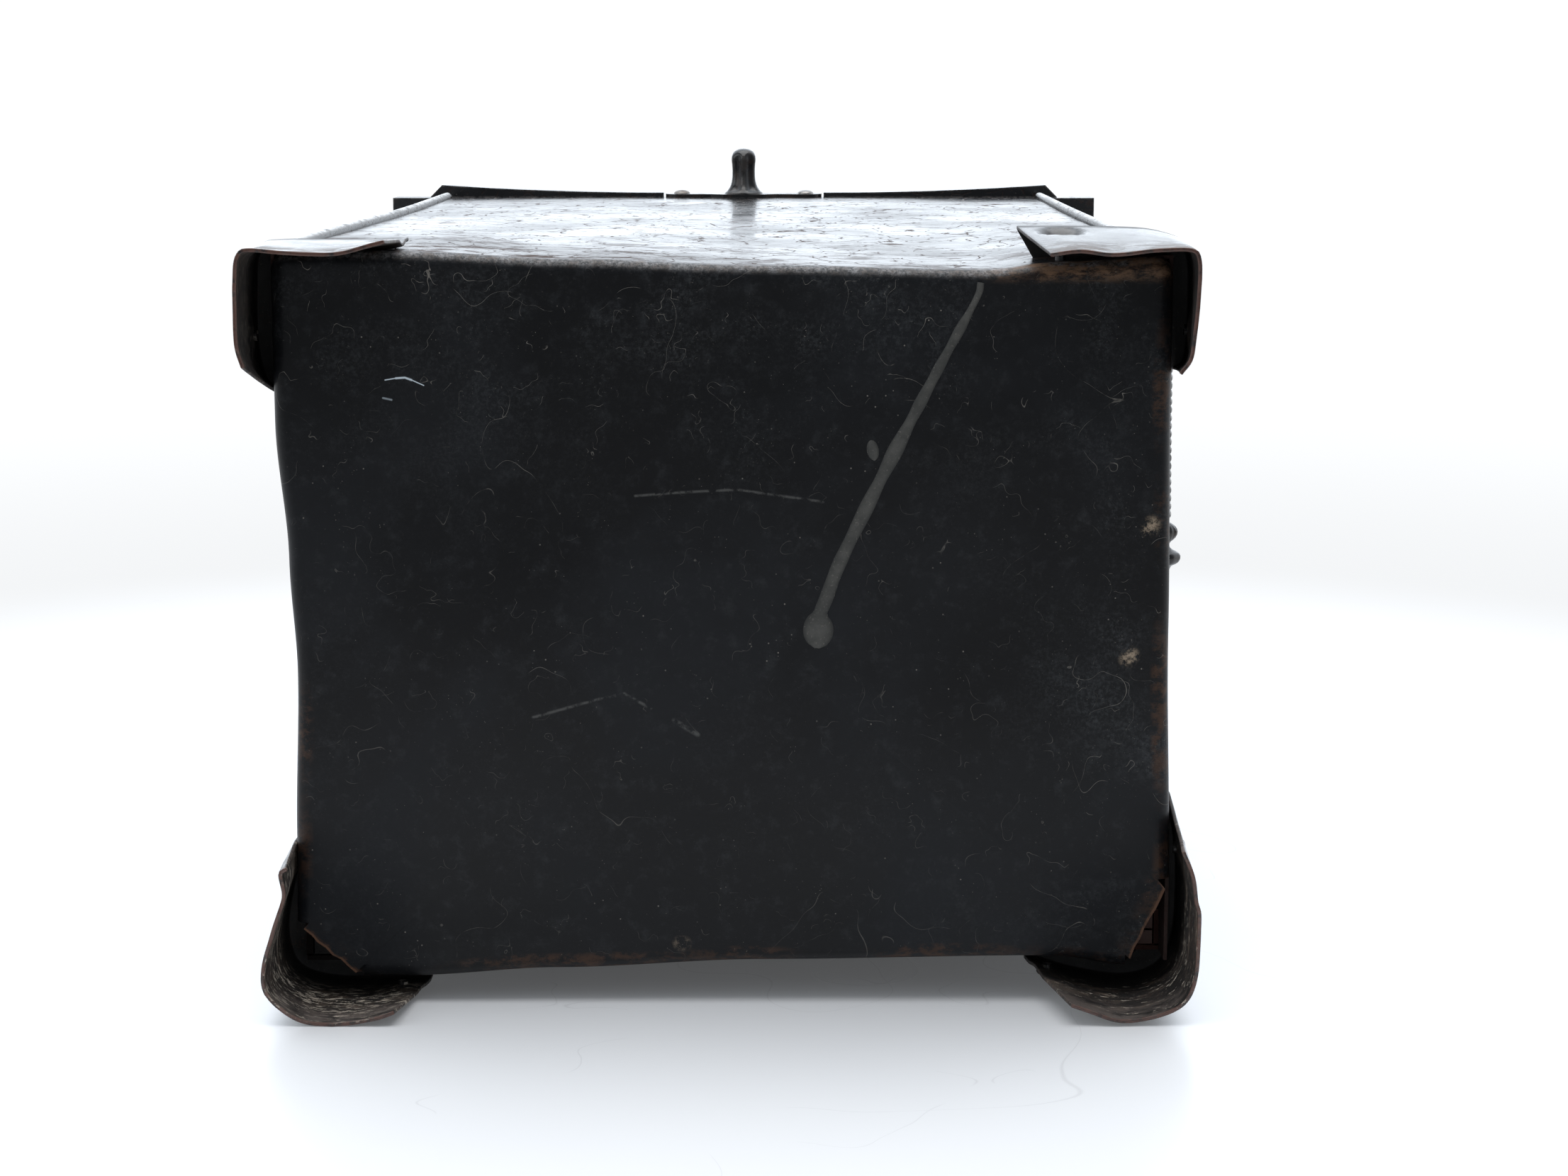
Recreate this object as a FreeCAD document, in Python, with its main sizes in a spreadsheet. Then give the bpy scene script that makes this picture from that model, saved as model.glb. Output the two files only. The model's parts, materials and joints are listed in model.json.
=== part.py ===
import FreeCAD, Part
import math
import os
import types
import Sketcher

# A lockable sheet-metal tabernacle box, in millimetres. +Z is up, the door faces -Y and the footed rear
# panel faces +Y. The origin is the centre of the box's footprint, on the surface that it lies on.

Vector = FreeCAD.Vector
Constraint = Sketcher.Constraint
UP = Vector(0, 0, 1)
DOWN = Vector(0, 0, -1)
FRONT = Vector(0, -1, 0)
LEFT = Vector(-1, 0, 0)
RIGHT = Vector(1, 0, 0)

doc = FreeCAD.newDocument("TabernacleBox")
sheet = doc.addObject("Spreadsheet::Sheet", "Dimensions")

DIMENSIONS = {
    # case
    "body_width": 300.0,
    "body_height": 241.0,
    "body_depth": 510.0,
    "underside": 14.0,
    "sheet_gauge": 1.2,
    "sheet_setback": 1.0,
    "pan_clearance": 0.2,
    "pan_depth": 18.0,
    "pan_bend": 3.0,
    "cut_across_right": 23.0,
    "cut_up_right": 19.0,
    "cut_across_left": 14.0,
    "cut_up_left": 28.0,
    "angle_leg": 14.0,
    "angle_gauge": 1.5,
    "end_gap": 0.5,
    # feet
    "foot_gauge": 1.6,
    "foot_reach": 26.0,
    "foot_lap": 27.0,
    "foot_stand_off": 9.5,
    "foot_rim_side_upper": 6.0,
    "foot_rim_side_lower": 8.0,
    "foot_rim_top": 5.0,
    "foot_across_root": 61.0,
    "foot_across_rim": 49.0,
    "foot_upright_root_upper": 58.0,
    "foot_upright_rim_upper": 37.0,
    "foot_upright_root_lower": 62.0,
    "foot_upright_rim_lower": 60.0,
    "foot_corner_upper": 5.0,
    "foot_corner_lower": 15.0,
    "boss_radius": 8.0,
    "boss_recess": 6.6,
    "boss_floor": 3.0,
    "boss_setback": 10.0,
    "boss_inset": 39.0,
    "boss_height": 36.0,
    "rivet_radius": 2.4,
    "rivet_clearance": 0.05,
    "rivet_head": 4.4,
    "rivet_dome": 2.2,
    # rope mouldings
    "rope_radius": 2.6,
    "rope_inset": 4.5,
    "drop_radius": 2.25,
    "drop_setback": 27.0,
    "drop_bottom": 163.5,
    "terminal_height": 18.0,
    "terminal_width": 11.0,
    "terminal_reach": 7.6,
    # front frame
    "frame_width": 345.0,
    "rail_width": 40.0,
    "rail_depth": 16.0,
    "rail_gauge": 1.5,
    "rail_bend": 3.0,
    "back_plate": 2.0,
    "stop_lap": 12.5,
    "screw_radius": 1.9,
    "screw_head": 4.0,
    "screw_dome": 1.8,
    "screw_spread": 58.7,
    # cresting and grip
    "cresting_width": 310.0,
    "cresting_depth": 8.0,
    "cresting_end": 6.0,
    "cresting_middle": 2.3,
    "cresting_mitre": 6.0,
    "grip_plate_width": 77.0,
    "grip_plate_depth": 20.0,
    "grip_plate_gauge": 1.8,
    "grip_height": 24.0,
    "grip_radius": 6.2,
    "grip_neck": 5.5,
    "grip_flare": 9.6,
    "grip_skirt": 7.5,
    "grip_skirt_rise": 2.7,
    "grip_throat": 5.8,
    "grip_throat_rise": 7.5,
    "grip_neck_rise": 12.4,
    "grip_eye": 8.0,
    "grip_waist": 6.0,
    "grip_shoulder": 16.0,
    # door
    "door_gap": 1.5,
    "door_depth": 15.0,
    "door_gauge": 1.5,
    "door_bend": 1.2,
    "field_width": 144.0,
    "field_height": 132.0,
    "field_gauge": 2.0,
    "field_bend": 1.2,
    "border_width": 6.0,
    "border_height": 4.0,
    "border_bend": 2.4,
    "cross_height": 92.0,
    "cross_width": 58.0,
    "cross_arm": 12.0,
    "cross_gauge": 3.0,
    "cross_bar_rise": 16.0,
    # lock and key
    "lock_offset": 105.0,
    "key_level": 115.0,
    "lock_width": 40.0,
    "lock_height": 42.0,
    "bolt_width": 10.0,
    "bolt_gauge": 6.0,
    "bolt_length": 38.0,
    "bolt_rise": 12.0,
    "bolt_fit": 0.3,
    "key_radius": 2.6,
    "key_fit": 0.1,
    "keyhole_fit": 0.4,
    "key_reach": 26.0,
    "bow_radius": 7.2,
    "bow_wire": 1.8,
    "bit_reach": 6.6,
    "bit_width": 2.4,
    "bit_length": 5.0,
    "escutcheon_width": 22.0,
    "escutcheon_height": 38.0,
    "escutcheon_gauge": 1.2,
    # ring
    "ring_level": 172.0,
    "ring_radius": 14.0,
    "ring_wire": 2.0,
    "ring_fit": 0.35,
    "ring_stand_off": 7.0,
    "ring_plate_radius": 12.0,
    "ring_plate_gauge": 2.0,
    "lug_width": 4.0,
    "lug_height": 9.0,
    # hinges
    "hinge_spread": 58.0,
    "hinge_height": 40.0,
    "leaf_width": 27.0,
    "leaf_gauge": 1.5,
    "knuckle_radius": 3.0,
    "pin_radius": 1.5,
    "pin_fit": 0.05,
    "knuckle_gap": 0.4,
    "pin_head": 2.6,
    "hinge_rivet": 1.6,
    "hinge_rivet_head": 3.0,
    "hinge_rivet_out": 16.0,
    "hinge_rivet_rise": 12.0,
    "web_sink": 0.3,
    # wooden lining
    "board": 5.0,
    "board_gap": 1.3,
    "board_joint": 0.3,
}


class Size:
    """A length together with the sheet formula that it comes from."""

    def __init__(self, value, written):
        self.value = value
        self.formula = written

    def __add__(self, other):
        return Size(self.value + number(other), f"({self.formula} + {formula(other)})")

    def __radd__(self, other):
        return Size(number(other) + self.value, f"({formula(other)} + {self.formula})")

    def __sub__(self, other):
        return Size(self.value - number(other), f"({self.formula} - {formula(other)})")

    def __rsub__(self, other):
        return Size(number(other) - self.value, f"({formula(other)} - {self.formula})")

    def __mul__(self, other):
        return Size(self.value * number(other), f"({self.formula} * {formula(other)})")

    def __rmul__(self, other):
        return Size(self.value * number(other), f"({formula(other)} * {self.formula})")

    def __truediv__(self, other):
        return Size(self.value / number(other), f"({self.formula} / {formula(other)})")

    def __neg__(self):
        return Size(-self.value, f"(0 - {self.formula})")


def number(quantity):
    """The plain number of a size or of a number."""
    return quantity.value if isinstance(quantity, Size) else float(quantity)


def formula(quantity):
    """The sheet formula of a size or of a number."""
    return quantity.formula if isinstance(quantity, Size) else f"({float(quantity)})"


for row, (alias, millimetres) in enumerate(DIMENSIONS.items(), start=1):
    sheet.set(f"A{row}", alias)
    sheet.set(f"B{row}", str(millimetres))
    sheet.setAlias(f"B{row}", alias)
doc.recompute()
dim = types.SimpleNamespace(
    **{alias: Size(value, "Dimensions." + alias) for alias, value in DIMENSIONS.items()}
)

# Levels that several pieces share.
ground = 0.0
half_width = dim.body_width / 2
top = dim.underside + dim.body_height
rear = dim.body_depth / 2
front = -dim.body_depth / 2
inner_side = half_width - dim.sheet_gauge
inner_top = top - dim.sheet_gauge
inner_bottom = dim.underside + dim.sheet_gauge
frame_half = dim.frame_width / 2
opening_half = frame_half - dim.rail_width
opening_low = dim.rail_width
opening_high = top - dim.rail_width
middle = (opening_low + opening_high) / 2
frame_back = front + dim.rail_depth
case_front = frame_back + dim.back_plate
sheet_rear = rear - dim.sheet_setback
door_half = opening_half - dim.door_gap
door_low = opening_low + dim.door_gap
door_high = opening_high - dim.door_gap
hinge_x = -opening_half + dim.door_gap / 2
hinge_y = front - dim.knuckle_radius

pieces = {}


def bind(thing, path, quantity):
    """Drive one property from the sheet."""
    thing.setExpression(path, formula(quantity))


def place(thing, x, y, z):
    """Drive a position from the sheet."""
    bind(thing, "Placement.Base.x", x)
    bind(thing, "Placement.Base.y", y)
    bind(thing, "Placement.Base.z", z)


def keep(label, thing):
    """Register a finished sub-part under its own label."""
    thing.Label = label
    pieces[label] = thing
    return thing


def new_body(label):
    return keep(label, doc.addObject("PartDesign::Body", label))


# ---------------------------------------------------------------- sketches

def flat(point):
    return Vector(number(point[0]), number(point[1]), 0)


def new_sketch(body, role, level):
    """Attach a sketch to one of the body's own planes, at a level along the row's axis across it."""
    sketch = body.newObject("Sketcher::SketchObject", body.Name + "_sketch")
    plane = [item for item in body.Origin.OriginFeatures if item.Role == role][0]
    sketch.AttachmentSupport = [(plane, "")]
    sketch.MapMode = "FlatFace"
    normal_sign = -1 if role == "XZ_Plane" else 1
    bind(sketch, "AttachmentOffset.Base.z", normal_sign * level)
    return sketch


def edge_between(corner, following):
    """One edge of an outline, with the numbers of its start and end points."""
    begin = flat(corner)
    finish = flat(following)
    if len(corner) == 2:
        return Part.LineSegment(begin, finish), 1, 2
    centre = flat(corner[2])
    begin_angle = math.atan2(begin.y - centre.y, begin.x - centre.x)
    finish_angle = math.atan2(finish.y - centre.y, finish.x - centre.x)
    circle = Part.Circle(centre, UP, begin.distanceToPoint(centre))
    if (begin - centre).cross(finish - centre).z > 0:
        return Part.ArcOfCircle(circle, begin_angle, finish_angle), 1, 2
    return Part.ArcOfCircle(circle, finish_angle, begin_angle), 2, 1


def draw_outline(sketch, corners):
    """Draw a closed outline whose corners, and the centres of whose arcs, are driven from the sheet.

    A corner is (x, y), or (x, y, (centre x, centre y)) when an arc leaves it.
    """
    offset = sketch.GeometryCount
    count = len(corners)
    edges = [edge_between(corners[index], corners[(index + 1) % count]) for index in range(count)]
    sketch.addGeometry([edge[0] for edge in edges], False)
    rules = []
    driven = []
    for index, (_, start_point, end_point) in enumerate(edges):
        following = (index + 1) % count
        geometry = offset + index
        rules.append(Constraint("Coincident", geometry, end_point, offset + following, edges[following][1]))
        for kind, value in (("DistanceX", corners[index][0]), ("DistanceY", corners[index][1])):
            driven.append((Constraint(kind, -1, 1, geometry, start_point, number(value)), value))
        if len(corners[index]) == 3:
            chord = flat(corners[following]) - flat(corners[index])
            across = abs(chord.y) >= abs(chord.x)
            centre = corners[index][2]
            kind, value = ("DistanceX", centre[0]) if across else ("DistanceY", centre[1])
            driven.append((Constraint(kind, -1, 1, geometry, 3, number(value)), value))
    add_driven(sketch, rules, driven)


def draw_circle(sketch, x, y, radius):
    """Draw a circle whose centre and radius are driven from the sheet."""
    geometry = sketch.addGeometry(Part.Circle(flat((x, y)), UP, number(radius)), False)
    driven = [
        (Constraint("DistanceX", -1, 1, geometry, 3, number(x)), x),
        (Constraint("DistanceY", -1, 1, geometry, 3, number(y)), y),
        (Constraint("Radius", geometry, number(radius)), radius),
    ]
    add_driven(sketch, [], driven)


def add_driven(sketch, rules, driven):
    offset = sketch.ConstraintCount
    sketch.addConstraint(rules + [constraint for constraint, _ in driven])
    for index, (_, value) in enumerate(driven):
        if isinstance(value, Size):
            bind(sketch, f"Constraints[{offset + len(rules) + index}]", value)


def draw_all(sketch, outlines, circles):
    for corners in outlines:
        draw_outline(sketch, corners)
    for x, y, radius in circles:
        draw_circle(sketch, x, y, radius)


def rectangle(low_x, low_y, high_x, high_y):
    return [(low_x, low_y), (high_x, low_y), (high_x, high_y), (low_x, high_y)]


# ---------------------------------------------------------------- features

def add_slab(body, role, low, high, outlines=(), circles=()):
    """Pad outlines from a low level to a high level across one of the row's planes."""
    sketch = new_sketch(body, role, high if role == "XZ_Plane" else low)
    draw_all(sketch, outlines, circles)
    pad = body.newObject("PartDesign::Pad", body.Name + "_pad")
    pad.Profile = sketch
    bind(pad, "Length", high - low)
    return pad


def cut_slab(body, role, low, high, outlines=(), circles=()):
    """Pocket outlines between two levels across one of the row's planes, and check that it cuts."""
    doc.recompute()
    before = body.Shape.Volume
    sketch = new_sketch(body, role, low if role == "XZ_Plane" else high)
    draw_all(sketch, outlines, circles)
    pocket = body.newObject("PartDesign::Pocket", body.Name + "_pocket")
    pocket.Profile = sketch
    bind(pocket, "Length", high - low)
    doc.recompute()
    if body.Shape.Volume >= before:
        raise RuntimeError(body.Label + ": a pocket cuts nothing")
    return pocket


def round_edges(body, radius, wanted):
    """Fillet the edges of the body's tip whose two ends and middle all satisfy wanted(point)."""
    doc.recompute()
    feature = body.Tip
    names = []
    for index, edge in enumerate(feature.Shape.Edges, start=1):
        centre = edge.valueAt((edge.FirstParameter + edge.LastParameter) / 2)
        points = [vertex.Point for vertex in edge.Vertexes] + [centre]
        if all(wanted(point) for point in points):
            names.append(f"Edge{index}")
    fillet = body.newObject("PartDesign::Fillet", body.Name + "_fillet")
    fillet.Base = (feature, names)
    bind(fillet, "Radius", radius)
    return fillet


def near(value, quantity):
    return abs(value - number(quantity)) < 0.01


def make_box(label, low, high):
    """A plain board or bar between two opposite corners."""
    box = keep(label, doc.addObject("Part::Box", label))
    bind(box, "Length", high[0] - low[0])
    bind(box, "Width", high[1] - low[1])
    bind(box, "Height", high[2] - low[2])
    place(box, *low)
    return box


def make_fastener(name, sizes, length, position, direction):
    """A domed head on a round shank: the head points along direction and sits at position."""
    shank_radius, head_radius, dome = sizes
    shank = doc.addObject("Part::Cylinder", name + "_shank")
    bind(shank, "Radius", shank_radius)
    bind(shank, "Height", length)
    bind(shank, "Placement.Base.z", -length)
    head = doc.addObject("Part::Ellipsoid", name + "_head")
    bind(head, "Radius1", dome)
    bind(head, "Radius2", head_radius)
    bind(head, "Radius3", head_radius)
    head.Angle1 = 0
    fastener = doc.addObject("Part::Fuse", name)
    fastener.Base = head
    fastener.Tool = shank
    fastener.Placement.Rotation = FreeCAD.Rotation(UP, direction)
    place(fastener, *position)
    return fastener


def make_fasteners(label, sizes, entries):
    """A group of identical fasteners, each (position, direction, shank length)."""
    group = keep(label, doc.addObject("Part::Compound", label))
    group.Links = [
        make_fastener(f"{label}_{index}", sizes, length, position, direction)
        for index, (position, direction, length) in enumerate(entries, start=1)
    ]
    return group


# ---------------------------------------------------------------- case sheets

rivet_hole = dim.rivet_radius + dim.rivet_clearance
boss_y = rear - dim.boss_setback


def boss_x(side):
    return side * (half_width - dim.boss_inset)


def boss_z(is_upper):
    return top - dim.boss_height if is_upper else dim.underside + dim.boss_height


def make_rear_panel():
    """The rear panel: a shallow pan whose edges are bent inwards, with both lower corners cut away."""
    body = new_body("rear_panel")
    half = inner_side - dim.pan_clearance
    low = inner_bottom + dim.pan_clearance
    high = inner_top - dim.pan_clearance
    pan_front = rear - dim.pan_depth
    add_slab(body, "XZ_Plane", pan_front, rear, [rectangle(-half, low, half, high)])
    round_edges(body, dim.pan_bend, lambda point: near(point.y, rear))
    inside = rectangle(-half + dim.sheet_gauge, low + dim.sheet_gauge,
                       half - dim.sheet_gauge, high - dim.sheet_gauge)
    cut_slab(body, "XZ_Plane", pan_front, rear - dim.sheet_gauge, [inside])
    cuts = [
        [(side * half, low), (side * (half - across), low), (side * half, low + up)]
        for side, across, up in ((-1, dim.cut_across_left, dim.cut_up_left),
                                 (1, dim.cut_across_right, dim.cut_up_right))
    ]
    cut_slab(body, "XZ_Plane", pan_front, rear, cuts)
    holes = [(boss_x(side), boss_y, rivet_hole) for side in (-1, 1)]
    cut_slab(body, "XY_Plane", low, high, circles=holes)
    holes = [(boss_y, boss_z(is_upper), rivet_hole) for is_upper in (True, False)]
    cut_slab(body, "YZ_Plane", -half, half, circles=holes)


def make_case_sheets():
    """The four sheets of the case, between the front frame and the rear panel."""
    across_holes = [(boss_x(side), boss_y, rivet_hole) for side in (-1, 1)]
    for label, low, high in (("top_sheet", inner_top, top),
                             ("bottom_sheet", dim.underside, inner_bottom)):
        body = new_body(label)
        outline = rectangle(-half_width, case_front, half_width, sheet_rear)
        add_slab(body, "XY_Plane", low, high, [outline])
        cut_slab(body, "XY_Plane", low, high, circles=across_holes)
    side_holes = [(boss_y, boss_z(is_upper), rivet_hole) for is_upper in (True, False)]
    for label, low, high in (("left_side_sheet", -half_width, -inner_side),
                             ("right_side_sheet", inner_side, half_width)):
        body = new_body(label)
        outline = rectangle(case_front, inner_bottom, sheet_rear, inner_top)
        add_slab(body, "YZ_Plane", low, high, [outline])
        cut_slab(body, "YZ_Plane", low, high, circles=side_holes)


def make_corner_angles():
    """Four inside angles that join the sheets along the box's long edges."""
    start = case_front + dim.end_gap
    end = rear - dim.pan_depth - dim.end_gap
    for level, face, inward in (("top", inner_top, -1), ("bottom", inner_bottom, 1)):
        for hand, side in (("left", -1), ("right", 1)):
            body = new_body(f"corner_angle_{level}_{hand}")
            x = side * inner_side
            z = face
            outline = [
                (x, z), (x - side * dim.angle_leg, z),
                (x - side * dim.angle_leg, z + inward * dim.angle_gauge),
                (x - side * dim.angle_gauge, z + inward * dim.angle_gauge),
                (x - side * dim.angle_gauge, z + inward * dim.angle_leg),
                (x, z + inward * dim.angle_leg),
            ]
            add_slab(body, "XZ_Plane", start, end, [outline])


# ---------------------------------------------------------------- feet

def bracket_outline(side, upward, corner, legs, radius):
    """The bent section of a foot: two wings that meet at a rounded outer corner."""
    x, z = corner
    across, upright = legs
    gauge = dim.foot_gauge
    centre = (x - side * radius, z - upward * radius)
    return [
        (x - side * across, z),
        (x - side * radius, z, centre),
        (x, z - upward * radius),
        (x, z - upward * upright),
        (x - side * gauge, z - upward * upright),
        (x - side * gauge, z - upward * radius, centre),
        (x - side * radius, z - upward * gauge),
        (x - side * across, z - upward * gauge),
    ]


def make_foot(label, side, upward, rim, legs_root, legs_rim, radius):
    """A pressed bracket foot: it stands off the case, tapers to its rim and is closed by a heel."""
    body = new_body(label)
    face = top if upward > 0 else dim.underside
    stand_off = dim.foot_stand_off if upward > 0 else dim.underside
    root_corner = (side * (half_width + dim.foot_stand_off), face + upward * stand_off)
    rim_corner = (side * (half_width + rim[0]), face + upward * rim[1])
    heel_y = rear - dim.foot_lap
    root = new_sketch(body, "XZ_Plane", heel_y)
    draw_outline(root, bracket_outline(side, upward, root_corner, legs_root, radius))
    tip = new_sketch(body, "XZ_Plane", rear + dim.foot_reach)
    draw_outline(tip, bracket_outline(side, upward, rim_corner, legs_rim, radius))
    loft = body.newObject("PartDesign::AdditiveLoft", label + "_loft")
    loft.Profile = root
    loft.Sections = [tip]
    loft.Ruled = True

    # The heel: an angle plate at the foot's far edge, from the case out to the bracket.
    shy = dim.foot_gauge / 2
    x = root_corner[0] - side * shy
    z = root_corner[1] - upward * shy
    bend = radius - shy
    across = legs_root[0] - 2 * shy
    upright = legs_root[1] - 2 * shy
    heel = [
        (side * half_width, face), (x - side * across, face), (x - side * across, z),
        (x - side * bend, z, (x - side * bend, z - upward * bend)),
        (x, z - upward * bend), (x, z - upward * upright), (side * half_width, z - upward * upright),
    ]
    add_slab(body, "XZ_Plane", heel_y, heel_y + dim.foot_gauge, [heel])

    # Two recessed bosses reach in to the case, each for one rivet. The cuts start clear of the wings.
    wing_low = face if upward > 0 else face - stand_off + shy
    wing_high = face + stand_off - shy * 3 if upward > 0 else face
    clear = dim.end_gap * 2
    add_slab(body, "XY_Plane", wing_low, wing_high, circles=[(boss_x(side), boss_y, dim.boss_radius)])
    side_near = side * half_width
    side_far = side * (half_width + dim.foot_stand_off - dim.foot_gauge)
    side_low, side_high = (side_far, side_near) if side < 0 else (side_near, side_far)
    side_boss = (boss_y, boss_z(upward > 0), dim.boss_radius)
    add_slab(body, "YZ_Plane", side_low, side_high, circles=[side_boss])
    outer = face + upward * (stand_off + clear)
    floor_z = face + upward * dim.boss_floor
    low, high = (floor_z, outer) if upward > 0 else (outer, floor_z)
    cut_slab(body, "XY_Plane", low, high, circles=[(boss_x(side), boss_y, dim.boss_recess)])
    outer = side * (half_width + dim.foot_stand_off + clear)
    floor_x = side * (half_width + dim.boss_floor)
    low, high = (outer, floor_x) if side < 0 else (floor_x, outer)
    cut_slab(body, "YZ_Plane", low, high, circles=[(boss_y, boss_z(upward > 0), dim.boss_recess)])
    low, high = (face, floor_z) if upward > 0 else (floor_z, face)
    cut_slab(body, "XY_Plane", low, high, circles=[(boss_x(side), boss_y, rivet_hole)])
    low, high = (floor_x, side_near) if side < 0 else (side_near, floor_x)
    cut_slab(body, "YZ_Plane", low, high, circles=[(boss_y, boss_z(upward > 0), rivet_hole)])


def make_feet():
    for hand, side in (("left", -1), ("right", 1)):
        make_foot(f"foot_upper_{hand}", side, 1,
                  (dim.foot_rim_side_upper, dim.foot_rim_top),
                  (dim.foot_across_root, dim.foot_upright_root_upper),
                  (dim.foot_across_rim, dim.foot_upright_rim_upper),
                  dim.foot_corner_upper)
        make_foot(f"foot_lower_{hand}", side, -1,
                  (dim.foot_rim_side_lower, dim.underside),
                  (dim.foot_across_root, dim.foot_upright_root_lower),
                  (dim.foot_across_rim, dim.foot_upright_rim_lower),
                  dim.foot_corner_lower)


def make_foot_rivets():
    """Eight rivets: two hold each foot, through the boss, the sheet and the rear panel's bent edge."""
    length = dim.boss_floor + dim.sheet_gauge * 2 + dim.pan_clearance
    entries = []
    for side, outward in ((-1, LEFT), (1, RIGHT)):
        for is_upper in (True, False):
            seat_z = top + dim.boss_floor if is_upper else dim.underside - dim.boss_floor
            entries.append(((boss_x(side), boss_y, seat_z), UP if is_upper else DOWN, length))
            seat_x = side * (half_width + dim.boss_floor)
            entries.append(((seat_x, boss_y, boss_z(is_upper)), outward, length))
    sizes = (dim.rivet_radius, dim.rivet_head, dim.rivet_dome)
    make_fasteners("foot_rivets", sizes, entries)


# ---------------------------------------------------------------- rope mouldings

def half_round(x, z, radius):
    """Half a disc that stands on a level face, as two quarter arcs."""
    centre = (x, z)
    return [(x - radius, z), (x + radius, z, centre), (x, z + radius, centre)]


def rounded_bar(x, y, radius, side):
    """A bar against the case's side, as deep as it is wide, with its outer half rounded."""
    centre = (x + side * radius, y)
    return [(x, y - radius), (centre[0], y - radius, centre), (x + side * radius * 2, y, centre),
            (centre[0], y + radius), (x, y + radius)]


def make_ropes():
    """Rope mouldings: one along each upper edge, and drops down the sides with cast terminals."""
    rope_x = half_width - dim.rope_inset
    for hand, side in (("left", -1), ("right", 1)):
        body = new_body(f"rope_top_{hand}")
        section = half_round(side * rope_x, top, dim.rope_radius)
        start = case_front + dim.end_gap
        end = rear - dim.foot_lap - dim.end_gap
        add_slab(body, "XZ_Plane", start, end, [section])
    spots = (("rear", rear - dim.drop_setback - dim.drop_radius),
             ("front", case_front + dim.drop_setback))
    for hand, side in (("left", -1), ("right", 1)):
        for name, y in spots:
            body = new_body(f"rope_drop_{name}_{hand}")
            section = rounded_bar(side * half_width, y, dim.drop_radius, side)
            add_slab(body, "XY_Plane", dim.drop_bottom, top - dim.end_gap, [section])
            if (name, hand) != ("rear", "right"):
                make_terminal(f"rope_terminal_{name}_{hand}", side, y)


# How far out a terminal reaches, as shares of its height downwards and of its reach.
TERMINAL_PROFILE = [(0.0, 0.62), (0.12, 0.86), (0.3, 0.86), (0.42, 0.5), (0.52, 0.5), (0.64, 1.0),
                    (0.8, 0.96), (0.93, 0.62), (1.0, 0.25)]


def make_terminal(label, side, y):
    """A cast terminal below a rope drop: a bell, a neck and a knob, flat against the side."""
    body = new_body(label)
    reach = dim.terminal_reach
    tall = dim.terminal_height
    top_z = dim.drop_bottom - dim.pan_clearance
    x = side * half_width
    profile = [(x, top_z)]
    profile += [(x + side * reach * out, top_z - tall * down) for down, out in TERMINAL_PROFILE]
    profile += [(x, top_z - tall)]
    half = dim.terminal_width / 2
    add_slab(body, "XZ_Plane", y - half, y + half, [profile])
    doc.recompute()
    turned = body.Tip
    names = terminal_edges(turned.Shape, (number(y - half), number(y + half)), number(x))
    chamfer = body.newObject("PartDesign::Chamfer", label + "_chamfer")
    chamfer.Base = (turned, names)
    bind(chamfer, "Size", dim.terminal_width / 10)


def terminal_edges(shape, sides, against):
    """The edges that outline a terminal's two sides, apart from those against the case."""
    names = []
    for index, edge in enumerate(shape.Edges, start=1):
        points = [vertex.Point for vertex in edge.Vertexes]
        on_one_side = any(all(near(point.y, side) for point in points) for side in sides)
        if on_one_side and not all(near(point.x, against) for point in points):
            names.append(f"Edge{index}")
    return names


# ---------------------------------------------------------------- front frame

def frame_screw_spots():
    """Centres of the frame screws, (x, z), halfway across the rails."""
    rail_x = frame_half - dim.rail_width / 2
    low = dim.rail_width / 2
    high = top - dim.rail_width / 2
    mids = [(side * rail_x, middle) for side in (-1, 1)]
    spans = [(side * dim.screw_spread, z) for side in (-1, 1) for z in (low, high)]
    return mids, spans


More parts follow.
